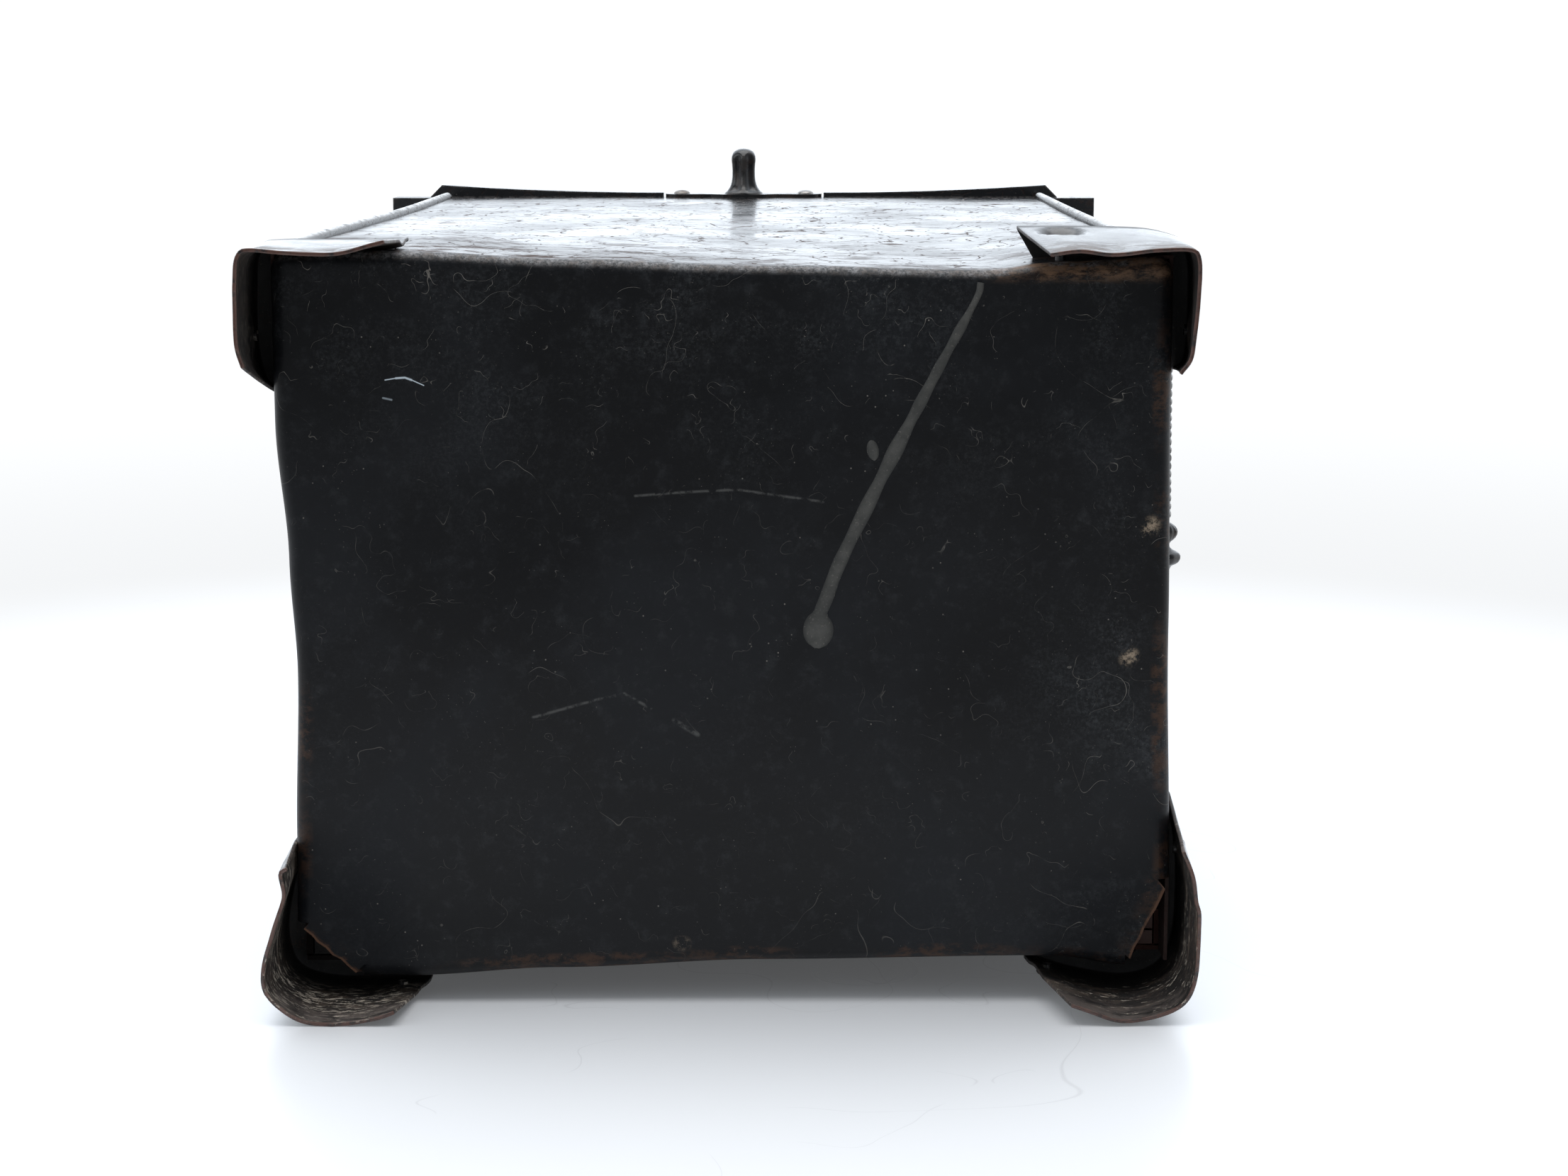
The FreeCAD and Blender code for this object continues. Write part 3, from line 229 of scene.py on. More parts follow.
class Tree:
    """A node tree, with short calls for the nodes that it is made of."""

    def __init__(self, holder):
        holder.use_nodes = True
        self.nodes = holder.node_tree.nodes
        self.links = holder.node_tree.links

    def node(self, kind, **settings):
        node = self.nodes.new("ShaderNode" + kind)
        for name, value in settings.items():
            setattr(node, name, value)
        return node

    def give(self, socket, value):
        """Link a socket, or set it where the value is a plain one. None leaves it as it is."""
        if isinstance(value, bpy.types.NodeSocket):
            self.links.new(value, socket)
        elif value is not None:
            socket.default_value = value

    def feed(self, node, **sockets):
        """Give several of a node's inputs by name."""
        for name, value in sockets.items():
            self.give(node.inputs[name.replace("_", " ")], value)
        return node

    def vector(self, operation, *values, output="Vector"):
        node = self.node("VectorMath", operation=operation)
        for socket, value in zip(node.inputs, values):
            self.give(socket, value)
        return node.outputs[output]

    def split(self, vector, axis):
        return self.feed(self.node("SeparateXYZ"), Vector=vector).outputs[axis]

    def maths(self, operation, first, second=0.0, clamp=False):
        node = self.node("Math", operation=operation, use_clamp=clamp)
        self.give(node.inputs[0], first)
        self.give(node.inputs[1], second)
        return node.outputs["Value"]

    def both(self, *values):
        """The product of two or more values."""
        total = values[0]
        for value in values[1:]:
            total = self.maths("MULTIPLY", total, value)
        return total

    def either(self, *values):
        """The largest of two or more values."""
        total = values[0]
        for value in values[1:]:
            total = self.maths("MAXIMUM", total, value)
        return total

    def between(self, value, low, high, to_low=0.0, to_high=1.0):
        """Map a value from one range to another, smoothly and clamped."""
        node = self.node("MapRange", interpolation_type="SMOOTHSTEP")
        self.feed(node, Value=value, From_Min=low, From_Max=high, To_Min=to_low, To_Max=to_high)
        return node.outputs["Result"]

    def blend(self, amount, first, second):
        """A colour between two others."""
        node = self.feed(self.node("Mix", data_type="RGBA"), Factor=amount)
        for socket, colour in zip((node.inputs[6], node.inputs[7]), (first, second)):
            self.give(socket, colour if isinstance(colour, bpy.types.NodeSocket) else (*colour, 1.0))
        return node.outputs[2]

    def camera_ray(self):
        return self.node("LightPath").outputs["Is Camera Ray"]


class Finish(Tree):
    """One material."""

    def __init__(self, name, **constants):
        self.material = bpy.data.materials.new(name)
        super().__init__(self.material)
        self.shader = self.nodes["Principled BSDF"]
        self.place = self.node("TexCoord").outputs["Object"]
        self.shade(**constants)

    def shade(self, **sockets):
        self.feed(self.shader, **sockets)
        return self

    def scaled(self, stretch, shift):
        mapping = self.feed(self.node("Mapping"), Vector=self.place, Scale=stretch, Location=shift)
        return mapping.outputs["Vector"]

    def cloud(self, size, detail=4.0, rough=0.55, shift=0.0, stretch=(1, 1, 1), twist=0.0):
        """Cloudy noise whose features are about size metres across."""
        place = self.scaled(stretch, (shift, shift * 1.7, shift * 0.6))
        node = self.feed(self.node("TexNoise"), Vector=place, Scale=1 / size, Detail=detail,
                         Roughness=rough, Distortion=twist)
        return node.outputs["Fac"]

    def patches(self, low, high, *cloud, **more):
        """A cloud's patches: 0 where the cloud is under low, and 1 where it is over high."""
        return self.between(self.cloud(*cloud, **more), low, high)

    def cells(self, size, feature="F1", stretch=(1, 1, 1), shift=0.0, warp=0.0):
        """Cells about size metres across: the distance to a cell's seed or edge."""
        place = self.scaled(stretch, (shift, shift, shift))
        if warp:
            bend = self.feed(self.node("TexNoise"), Vector=place, Scale=0.7 / size)
            place = self.vector("MULTIPLY_ADD", bend.outputs["Color"], (warp * size,) * 3, place)
        node = self.feed(self.node("TexVoronoi", feature=feature), Vector=place, Scale=1 / size)
        return node.outputs["Distance"]

    def worn(self):
        """The wear that is stored along a piece's edges."""
        return self.node("Attribute", attribute_name="wear").outputs["Fac"]

    def normal(self):
        return self.node("TexCoord").outputs["Normal"]

    def edge(self, radius):
        """1 along hard edges and 0 on flat faces."""
        soft = self.feed(self.node("Bevel", samples=4), Radius=radius).outputs["Normal"]
        true = self.node("NewGeometry").outputs["True Normal"]
        return self.between(self.vector("DOT_PRODUCT", soft, true, output="Value"), 0.995, 0.88)

    def inward(self):
        """1 on faces that look towards the case's middle and 0 on those that look away from it."""
        away = self.vector("MULTIPLY_ADD", self.place, (1, 0, 1), (0, 0, -(TOP + UNDERSIDE) / 2))
        return self.between(self.vector("DOT_PRODUCT", away, self.normal(), output="Value"), 0.0, -0.03)

    def facing(self, axis):
        """How far a face looks along one of the part's axes, from -1 to 1."""
        return self.split(self.normal(), axis)

    def at(self, axis):
        """The place along one of the part's axes, in metres."""
        return self.split(self.place, axis)

    def relief(self, height, depth, strength=1.0):
        """Bump from a height between 0 and 1 that stands for depth metres."""
        bump = self.feed(self.node("Bump"), Strength=strength, Distance=depth, Height=height)
        return self.shade(Normal=bump.outputs["Normal"])

    def hairs(self, size, width, share, shift):
        """Thin curved lines, like lint and fine scratches: contours of a cloud, broken by another."""
        lines = self.maths("ABSOLUTE", self.maths("SUBTRACT", self.cloud(size, 2.0, 0.5, shift), 0.5))
        broken = self.patches(share, share + 0.03, size * 0.8, 1.0, shift=shift + 3)
        return self.both(self.between(lines, width, 0.0), broken)

    def stroke(self, points, width, fade=0.5):
        """A mark along a few points (x, z) of the rear panel."""
        marks = []
        flat = self.scaled((1, 0, 1), (0, 0, 0))
        for (start_x, start_z), (end_x, end_z) in zip(points, points[1:]):
            line = Vector((end_x - start_x, 0, end_z - start_z))
            away = self.vector("SUBTRACT", flat, (start_x, 0, start_z))
            share = self.vector("DOT_PRODUCT", away, line / line.length_squared, output="Value")
            reach = self.vector("SCALE", line, None, None, self.maths("MULTIPLY", share, 1.0, clamp=True))
            gap = self.vector("DISTANCE", away, reach, output="Value")
            marks.append(self.between(gap, width, width * (1 - fade)))
        return self.either(*marks)


BLACK = (0.0032, 0.0035, 0.0044)
BROWN = (0.060, 0.030, 0.020)
DUST = (0.20, 0.185, 0.165)
# The lint on the panel, from coarse to fine: the size of its curls, its width, share, seed and amount.
LINT = ((0.040, 0.0012, 0.54, 11.0, 0.9), (0.021, 0.0018, 0.55, 23.0, 0.85),
        (0.011, 0.0034, 0.58, 37.0, 0.90))


def panel_finish():
    """The footed panel: satin black, rubbed, dusty, with lint, scrapes and a rusty rim."""
    paint = Finish("panel_paint")
    both, blend, between, patches = paint.both, paint.blend, paint.between, paint.patches
    x, z = paint.at("X"), paint.at("Z")
    dusty = paint.either(between(z, 0.165, 0.250), between(x, -0.085, -0.150))
    haze = patches(0.38, 0.72, 0.09, 5, 0.6, twist=0.4)
    mottle = paint.cloud(0.007, 7, 0.72, 2)
    colour = blend(haze, BLACK, (0.0070, 0.0082, 0.0105))
    colour = blend(between(mottle, 0.50, 0.76, 0, 0.7), colour, (0.021, 0.0225, 0.025))
    # Dust, from a thin film to single specks, and lint.
    drift = patches(0.42, 0.72, 0.035, 6, 0.7, 5)
    film = both(drift, paint.maths("ADD", both(dusty, 0.75), 0.12), patches(0.42, 0.66, 0.0013, 4, 0.75, 12))
    colour = blend(both(film, 0.65), colour, (0.062, 0.066, 0.070))
    specks = both(between(paint.cells(0.0042, shift=1), 0.085, 0.03), patches(0.46, 0.62, 0.03, 4, 0.7, 9))
    fine = both(between(paint.cells(0.0016, shift=6), 0.11, 0.05), patches(0.50, 0.66, 0.012, 4, 0.7, 15))
    grit = patches(0.66, 0.78, 0.0008, 2, 0.6, 4)
    grit = both(grit, paint.maths("ADD", both(drift, dusty), 0.10, clamp=True))
    lint = paint.either(*[both(paint.hairs(*hair), amount) for *hair, amount in LINT])
    lint = both(lint, patches(0.36, 0.60, 0.006, 3, 0.6, 18), paint.maths("ADD", both(dusty, 0.55), 0.45))
    pale = paint.either(both(specks, 0.85), both(fine, 0.75), both(grit, 0.70), lint)
    colour = blend(pale, colour, DUST)
    # Faint scratches, one bright scrape, and spots where the paint is gone.
    faint = paint.either(
        paint.stroke([(0.029, 0.1763), (0.0138, 0.1775), (-0.0051, 0.1785), (-0.0338, 0.1744)], 0.0007, 0.95),
        paint.stroke([(0.0642, 0.1007), (0.0407, 0.1073), (0.0334, 0.1088), (0.0244, 0.1037)], 0.0008, 0.95),
        paint.stroke([(0.0165, 0.0995), (0.0086, 0.0946)], 0.0012, 0.9))
    colour = blend(both(faint, patches(0.38, 0.58, 0.004, 3, 0.7, 7), 0.55), colour, (0.115, 0.115, 0.11))
    scrape = paint.either(
        paint.stroke([(0.1118, 0.2152), (0.1082, 0.2158)], 0.00030, 0.9),
        paint.stroke([(0.1082, 0.2158), (0.1052, 0.2160), (0.1030, 0.2152)], 0.00052, 0.9),
        paint.stroke([(0.1030, 0.2152), (0.0990, 0.2134)], 0.00028, 0.9),
        both(paint.stroke([(0.1126, 0.2092), (0.1098, 0.2086)], 0.0005, 0.9), 0.4))
    colour = blend(scrape, colour, (0.62, 0.70, 0.76))
    gone = paint.either(
        paint.stroke([(-0.1440, 0.1668), (-0.1432, 0.1652)], 0.0040, 0.9),
        paint.stroke([(-0.1378, 0.1222), (-0.1366, 0.1208)], 0.0038, 0.9),
        both(paint.stroke([(0.0148, 0.0214), (0.0138, 0.0214)], 0.0034, 0.6), 0.35))
    colour = blend(both(gone, patches(0.44, 0.62, 0.0022, 5, 0.75, 8)), colour, (0.30, 0.235, 0.17))
    # Rust along the rims and on the raw cut edges, and, on the rolled edge's upward faces, settled dust with
    # a painted highlight.
    worn = paint.worn()
    rust_cloud = paint.cloud(0.0045, 6, 0.78, 6, (0.6, 1, 1))
    rust = both(between(worn, 0.45, 1.05), between(rust_cloud, 0.44, 0.60))
    colour = blend(both(rust, 0.65), colour, blend(mottle, (0.045, 0.022, 0.013), (0.10, 0.048, 0.024)))
    raw = both(between(worn, 1.15, 1.6), between(rust_cloud, 0.32, 0.5, 0.35, 1.0))
    colour = blend(raw, colour, (0.115, 0.058, 0.034))
    # Painted highlight and dust: the rolled edge's upward faces are made pale.
    settled_dust_and_highlight = both(between(paint.facing("Z"), 0.25, 0.85), patches(0.38, 0.62, 0.0015, 5, 0.78, 21),
                   between(paint.cloud(0.020, 3, 0.6, 22), 0.30, 0.52, 0.35, 1.0))
    pale_dust_and_highlight = blend(between(mottle, 0.40, 0.60), (0.12, 0.090, 0.072), (0.27, 0.265, 0.27))
    colour = blend(both(settled_dust_and_highlight, 0.7), colour, pale_dust_and_highlight)
    flare = both(between(x, -0.078, -0.108), between(z, 0.2465, 0.2505),
                 patches(0.40, 0.60, 0.0035, 6, 0.78, 31, (0.4, 1, 1)))
    colour = blend(both(flare, 0.75), colour, (0.20, 0.118, 0.070))
    rough = paint.maths("ADD", between(haze, 0, 1, 0.36, 0.46), both(pale, 0.4), clamp=True)
    relief = paint.maths("ADD", both(mottle, 0.6), both(pale, 0.4))
    corner = both(between(paint.maths("ABSOLUTE", x), 0.085, 0.135), between(z, 0.075, 0.025))
    gloss = between(corner, 0.0, 1.0, 0.24, 0.13)
    paint.shade(Base_Color=colour, Roughness=rough, Specular_IOR_Level=gloss)
    return paint.relief(relief, 0.00020, 0.55).material


def lacquer_finish(name, sheen_low, sheen_high, crackle, dust):
    """Glossy black lacquer that has crackled, gathered dust and worn brown in hairlines."""
    coat = Finish(name, IOR=1.52)
    both, blend, between, patches = coat.both, coat.blend, coat.between, coat.patches
    y = coat.at("Y")
    drift = coat.cloud(0.06, 5, 0.6, 1)
    wave = coat.cloud(0.030, 3, 0.5, 3, (1.0, 0.6, 1))
    crack = between(coat.cells(0.018, "DISTANCE_TO_EDGE", (0.9, 0.7, 1.0), 2.0, 1.1), 0.028, 0.0)
    crack = both(crack, patches(0.47, 0.55, 0.014, 4, 0.7, 9))
    fine = between(coat.cells(0.009, "DISTANCE_TO_EDGE", (0.6, 0.9, 1.0), 5.0, 1.0), 0.050, 0.0)
    fine = both(fine, patches(0.49, 0.56, 0.015, 4, 0.7, 7))
    chips = patches(0.60, 0.66, 0.0065, 5, 0.75, 14, (0.8, 0.30, 1.0))
    near = both(between(y, 0.10, 0.235), between(coat.at("X"), -0.10, 0.08, 0.55, 1.0))
    scuffs = both(patches(0.50, 0.62, 0.010, 7, 0.78, 17, (0.35, 0.6, 1.0)), near)
    cracks = coat.either(crack, both(fine, 0.8), both(chips, 0.9), scuffs)
    grit = both(patches(0.62, 0.74, 0.0016, 3, 0.7, 4), patches(0.42, 0.66, 0.04, 4, 0.7, 8))
    colour = blend(between(drift, 0.35, 0.75), BLACK, (0.012, 0.012, 0.014))
    colour = blend(both(cracks, 0.7 * crackle), colour, BROWN)
    colour = blend(both(grit, dust), colour, DUST)
    # Lighter along hard edges: partly rubbed wear, partly a painted highlight where the edges catch the
    # light.
    edge = both(coat.edge(0.0012), patches(0.38, 0.58, 0.005, 5, 0.75, 5), between(y, 0.228, 0.222))
    colour = blend(both(edge, 0.8), colour, (0.24, 0.22, 0.21))
    # Inside, near the rear, the sheets are bare and red-brown.
    bare = both(coat.either(coat.inward(), between(coat.facing("Y"), 0.5, 0.8)), between(y, 0.205, 0.215))
    red_brown = blend(between(drift, 0.3, 0.7), (0.060, 0.026, 0.020), (0.028, 0.013, 0.010))
    colour = blend(bare, colour, red_brown)
    rough = between(drift, 0.35, 0.70, sheen_low, sheen_high)
    rough = coat.maths("ADD", rough, both(coat.either(grit, both(cracks, crackle)), 0.35), clamp=True)
    rough = coat.maths("ADD", rough, coat.either(both(bare, 0.5), both(near, 0.10 * crackle)), clamp=True)
    gloss = coat.maths("SUBTRACT", 0.5, both(cracks, 0.47 * crackle), clamp=True)
    height = coat.maths("ADD", both(wave, 0.6), both(coat.maths("SUBTRACT", 1.0, cracks), 0.4))
    coat.shade(Base_Color=colour, Roughness=rough, Specular_IOR_Level=gloss)
    return coat.relief(height, 0.0006 * crackle + 0.0002, 0.22).material


def foot_finish():
    """Black iron brackets: glossy outside, gritty grey-brown inside the lower cups, thin rusty rims."""
    iron = Finish("foot_iron", IOR=1.6)
    both, blend, between = iron.both, iron.blend, iron.between
    y, z = iron.at("Y"), iron.at("Z")
    inside = iron.inward()
    cup = both(inside, between(z, 0.12, 0.07, 0.50, 1.0))
    grain = iron.cloud(0.0045, 6, 0.75, 2, (1.0, 0.10, 1.0))
    around = iron.cloud(0.0050, 6, 0.75, 4, (0.35, 1.0, 0.30))
    blotch = iron.cloud(0.016, 6, 0.7, 6)
    fleck = iron.cloud(0.0012, 5, 0.75, 13)
    colour = blend(between(grain, 0.45, 0.75), (0.0045, 0.0045, 0.0055), (0.026, 0.022, 0.020))
    scuffed = blend(between(around, 0.46, 0.66), (0.013, 0.011, 0.010), (0.108, 0.080, 0.060))
    strewn = iron.cloud(0.0018, 5, 0.75, 17, (0.35, 1.0, 0.40))
    strewn = iron.maths("SUBTRACT", strewn, between(iron.at("X"), 0.0, 0.12, 0.575, 0.515))
    caught = both(between(strewn, 0.0, 0.07), between(z, 0.06, 0.02, 0.35, 0.95))
    scuffed = blend(caught, scuffed, (0.56, 0.49, 0.40))
    scuffed = blend(between(blotch, 0.50, 0.64, 0, 0.8), scuffed, (0.016, 0.012, 0.010))
    colour = blend(cup, colour, scuffed)
    deep = iron.either(between(y, HEEL + 0.010, HEEL + 0.002),
                       both(between(y, HEEL + 0.024, HEEL + 0.006), between(z, 0.12, 0.07)))
    shaded = both(deep, iron.either(between(iron.facing("Y"), 0.2, 0.7), inside))
    colour = blend(shaded, colour, (0.010, 0.0085, 0.0075))
    band = both(between(y, FEET_REAR - 0.024, FEET_REAR - 0.004), between(around, 0.36, 0.56),
                between(iron.facing("Z"), 0.3, 0.8))
    colour = blend(both(band, 0.8), colour, (0.115, 0.095, 0.085))
    rust = both(between(blotch, 0.52, 0.68), between(fleck, 0.46, 0.60))
    colour = blend(both(rust, 0.5), colour, (0.070, 0.034, 0.020))
    rim = both(between(iron.worn(), 0.50, 0.95), iron.patches(0.30, 0.58, 0.004, 4, 0.7, 9))
    colour = blend(both(rim, 0.9), colour, (0.105, 0.046, 0.032))
    colour = blend(both(iron.patches(0.66, 0.76, 0.0010, 2, 0.6, 3), 0.35), colour, (0.20, 0.17, 0.14))
    rough = iron.maths("ADD", between(blotch, 0.35, 0.70, 0.09, 0.24),
                       both(iron.either(inside, deep, band), 0.45), clamp=True)
    relief = iron.maths("ADD", both(grain, 0.5), both(fleck, 0.5))
    return iron.shade(Base_Color=colour, Roughness=rough).relief(relief, 0.0004, 0.35).material


def rope_finish():
    """Rope mouldings: black paint rubbed bright and glossy on the strands, grime between them."""
    rope = Finish("rope_metal", IOR=1.6)
    worn = rope.worn()
    rub = rope.both(rope.between(worn, 0.35, 0.85), rope.patches(0.30, 0.55, 0.010, 5, 0.7))
    grime = rope.cloud(0.0022, 5, 0.75, 4)
    clots = rope.both(rope.between(grime, 0.56, 0.66), rope.between(worn, 0.75, 0.25))
    colour = rope.blend(rope.between(grime, 0.4, 0.7), (0.010, 0.010, 0.011), (0.040, 0.034, 0.030))
    colour = rope.blend(rub, colour, (0.52, 0.515, 0.51))
    colour = rope.blend(rope.both(clots, 0.9), colour, (0.035, 0.018, 0.011))
    rough = rope.maths("ADD", rope.between(grime, 0.3, 0.8, 0.16, 0.36), rope.both(clots, 0.4), clamp=True)
    rope.shade(Base_Color=colour, Metallic=rope.both(rub, 0.85), Roughness=rough)
    return rope.relief(grime, 0.0002, 0.4).material


def cast_finish():
    """The cast grip: dark iron, rubbed bright on its ridges, with rust in its hollows."""
    cast = Finish("grip_iron", IOR=1.5)
    patch = cast.cloud(0.009, 5, 0.65, 3)
    rub = cast.either(cast.both(cast.worn(), 0.9), cast.edge(0.0010))
    rub = cast.both(rub, cast.patches(0.35, 0.60, 0.005, 4, 0.6, 5))
    colour = cast.blend(cast.between(patch, 0.42, 0.72), (0.005, 0.005, 0.006), (0.034, 0.020, 0.014))
    colour = cast.blend(cast.both(rub, 0.6), colour, (0.15, 0.145, 0.14))
    rough = cast.between(patch, 0.3, 0.7, 0.14, 0.34)
    cast.shade(Base_Color=colour, Metallic=cast.both(rub, 0.6), Roughness=rough)
    return cast.relief(cast.cloud(0.0012, 4, 0.7), 0.00012, 0.4).material


def brass_finish():
    """Aged brass: warm on the crowns, brown in the hollows, with fine turning marks."""
    brass = Finish("aged_brass", Metallic=1.0)
    tarnish = brass.cloud(0.026, 7, 0.62, twist=0.3)
    colour = brass.blend(brass.between(tarnish, 0.30, 0.72), (0.43, 0.285, 0.105), (0.21, 0.130, 0.052))
    pits = brass.both(brass.patches(0.62, 0.72, 0.0022, 4, 0.7, 7), 0.6)
    colour = brass.blend(pits, colour, (0.07, 0.045, 0.022))
    colour = brass.blend(brass.both(brass.edge(0.0009), 0.8), colour, (0.66, 0.49, 0.23))
    brass.shade(Base_Color=colour, Roughness=brass.between(tarnish, 0.3, 0.7, 0.24, 0.50))
    return brass.relief(brass.cloud(0.0013, 4, 0.7, 3), 0.00014, 0.45).material


def steel_finish():
    """Worn steel: grey with brown tarnish, brushed by use."""
    steel = Finish("worn_steel", Metallic=1.0)
    brown = steel.cloud(0.018, 7, 0.62, 2)
    brush = steel.cloud(0.0015, 3, 0.6, 5, (1, 1, 0.1))
    colour = steel.blend(steel.between(brown, 0.38, 0.74), (0.235, 0.225, 0.215), (0.105, 0.076, 0.058))
    pits = steel.both(steel.patches(0.62, 0.70, 0.0020, 4, 0.7, 8), 0.7)
    colour = steel.blend(pits, colour, (0.065, 0.038, 0.026))
    colour = steel.blend(steel.both(steel.edge(0.0008), 0.7), colour, (0.52, 0.50, 0.48))
    steel.shade(Base_Color=colour, Roughness=steel.between(brown, 0.35, 0.7, 0.30, 0.58))
    return steel.relief(brush, 0.00012, 0.5).material


def primer_finish():
    """The hidden steel inside: matt red-brown primer with darker rust."""
    primer = Finish("inner_primer", Specular_IOR_Level=0.25)
    patch = primer.cloud(0.030, 7, 0.62)
    colour = primer.blend(primer.between(patch, 0.32, 0.74), (0.070, 0.027, 0.019), (0.044, 0.019, 0.014))
    scuffs = primer.patches(0.60, 0.70, 0.004, 5, 0.75, 6, (1, 1, 0.4))
    colour = primer.blend(primer.both(scuffs, 0.5), colour, (0.020, 0.012, 0.010))
    shaded = primer.both(primer.between(primer.at("X"), -0.05, 0.05),
                         primer.between(primer.at("Y"), 0.18, 0.20))
    colour = primer.blend(shaded, colour, (0.009, 0.006, 0.005))
    primer.shade(Base_Color=colour, Roughness=primer.between(patch, 0.3, 0.7, 0.60, 0.85))
    return primer.relief(primer.cloud(0.0014, 4, 0.7, 3), 0.0003, 0.6).material


def wood_finish():
    """Oiled cedar boards: long grain with darker rings and fine pores, and a back board whose rear face
    carries painted shade, near black on the right and red-brown on the left.
    """
    wood = Finish("lining_cedar", Specular_IOR_Level=0.35)
    grain = wood.cloud(0.011, 6, 0.6, stretch=(1.0, 0.07, 1.0), twist=0.6)
    rings = wood.feed(wood.node("TexWave", bands_direction="DIAGONAL"), Scale=34, Distortion=6, Detail=3,
                      Vector=wood.scaled((1.0, 0.06, 1.0), (0, 0, 0)))
    pores = wood.patches(0.60, 0.72, 0.0012, 3, 0.7, 4, (1, 0.05, 1))
    colour = wood.blend(rings.outputs["Fac"], (0.26, 0.125, 0.062), (0.155, 0.066, 0.030))
    colour = wood.blend(wood.between(grain, 0.35, 0.7), colour, (0.33, 0.18, 0.095))
    colour = wood.blend(wood.both(pores, 0.7), colour, (0.050, 0.022, 0.012))
    # Painted shade: the back board's rear face is near black on the right-hand side, and red-brown on the
    # left.
    behind = wood.both(wood.between(wood.facing("Y"), 0.5, 0.9), wood.between(wood.at("Y"), 0.20, 0.21))
    back_painted_shade_and_red_brown = wood.blend(wood.between(wood.at("X"), -0.04, -0.08), (0.010, 0.008, 0.007), (0.10, 0.045, 0.032))
    colour = wood.blend(behind, colour, back_painted_shade_and_red_brown)
    wood.shade(Base_Color=colour, Roughness=wood.between(grain, 0.3, 0.7, 0.42, 0.60))
    return wood.relief(pores, -0.0003, 0.5).material


def run_finish():
    """The dried run of grey-green paint on the panel, darker along its sides, with specks of dust."""
    run = Finish("dried_run", Specular_IOR_Level=0.30)
    patch = run.cloud(0.006, 5, 0.65)
    colour = run.blend(run.between(patch, 0.35, 0.7), (0.046, 0.046, 0.043), (0.078, 0.077, 0.071))
    # Darker along the sides of the run.
    colour = run.blend(run.both(run.worn(), 0.75), colour, (0.010, 0.011, 0.011))
    colour = run.blend(run.both(run.patches(0.60, 0.74, 0.0009, 2, 0.6, 4), 0.35), colour, DUST)
    run.shade(Base_Color=colour, Roughness=run.between(patch, 0.3, 0.7, 0.5, 0.7))
    return run.relief(patch, 0.0002).material


FINISHES = {
    "panel_black": panel_finish(),
    "top_lacquer": lacquer_finish("top_lacquer", 0.15, 0.30, 1.0, 0.45),
    "japanned_steel": lacquer_finish("case_lacquer", 0.16, 0.34, 0.35, 0.35),
    "foot_iron": foot_finish(),
    "rope_metal": rope_finish(),
    "grip_iron": cast_finish(),
    "aged_brass": brass_finish(),
    "worn_steel": steel_finish(),
    "inner_steel": primer_finish(),
    "lining_wood": wood_finish(),
    "dried_run": run_finish(),
}
for subpart in frame["record"]["subparts"]:
    node = frame["nodes"][subpart["node"]]
    node.data.materials.clear()
    node.data.materials.append(FINISHES[subpart["material_slot"]])


# ---------------------------------------------------------------- rear panel

# The wear value that marks the panel's raw cut edges, above what any rubbed edge has.
RAW_EDGE = 2.0


def panel_outline():
    """The pan's outline: (x, z, way in, folded), where folded is false along the two cut lower corners."""
    low, high = Vector((-HALF, 0, UNDERSIDE)), Vector((HALF, 0, TOP))
    corner = ROLL + 2 * MM
    right, left, down, up = Vector((-1, 0)), Vector((1, 0)), Vector((0, -1)), Vector((0, 1))
    points = []

    def straight(start, end, inward, last=True):
        steps = max(2, round((Vector(end) - Vector(start)).length / (4 * MM)))
        for step in range(steps + last):
            x, z = Vector(start).lerp(Vector(end), step / steps)
            points.append((x, z, inward, True))

    def bend(centre, begin):
        for step in range(6):
            angle = math.radians(begin + 90 * step / 6)
            out = Vector((math.cos(angle), math.sin(angle)))
            points.append((centre[0] + corner * out.x, centre[1] + corner * out.y, -out, True))

    def cut(start, end, first_way, last_way):
        for step in range(1, 9):
            share = step / 9
            x, z = Vector(start).lerp(Vector(end), share)
            points.append((x, z, first_way.lerp(last_way, share), False))

    right_top, right_foot = (high.x, low.z + RIGHT_CUT[1]), (high.x - RIGHT_CUT[0], low.z)
    left_top, left_foot = (low.x, low.z + LEFT_CUT[1]), (low.x + LEFT_CUT[0], low.z)
    straight(right_top, (high.x, high.z - corner), right, False)
    bend((high.x - corner, high.z - corner), 0)
    straight((high.x - corner, high.z), (low.x + corner, high.z), down, False)
    bend((low.x + corner, high.z - corner), 90)
    straight((low.x, high.z - corner), left_top, left)
    cut(left_top, left_foot, left, up)
    straight(left_foot, right_foot, up)
    cut(right_foot, right_top, up, right)
    return points


def panel_swell(x, z):
    """How far the panel's flat face swells out or dishes in."""
    return min(ripple(x, 0, z, 0.085, 1.5 * MM) - 0.5 * MM, SWELL_LIMIT)


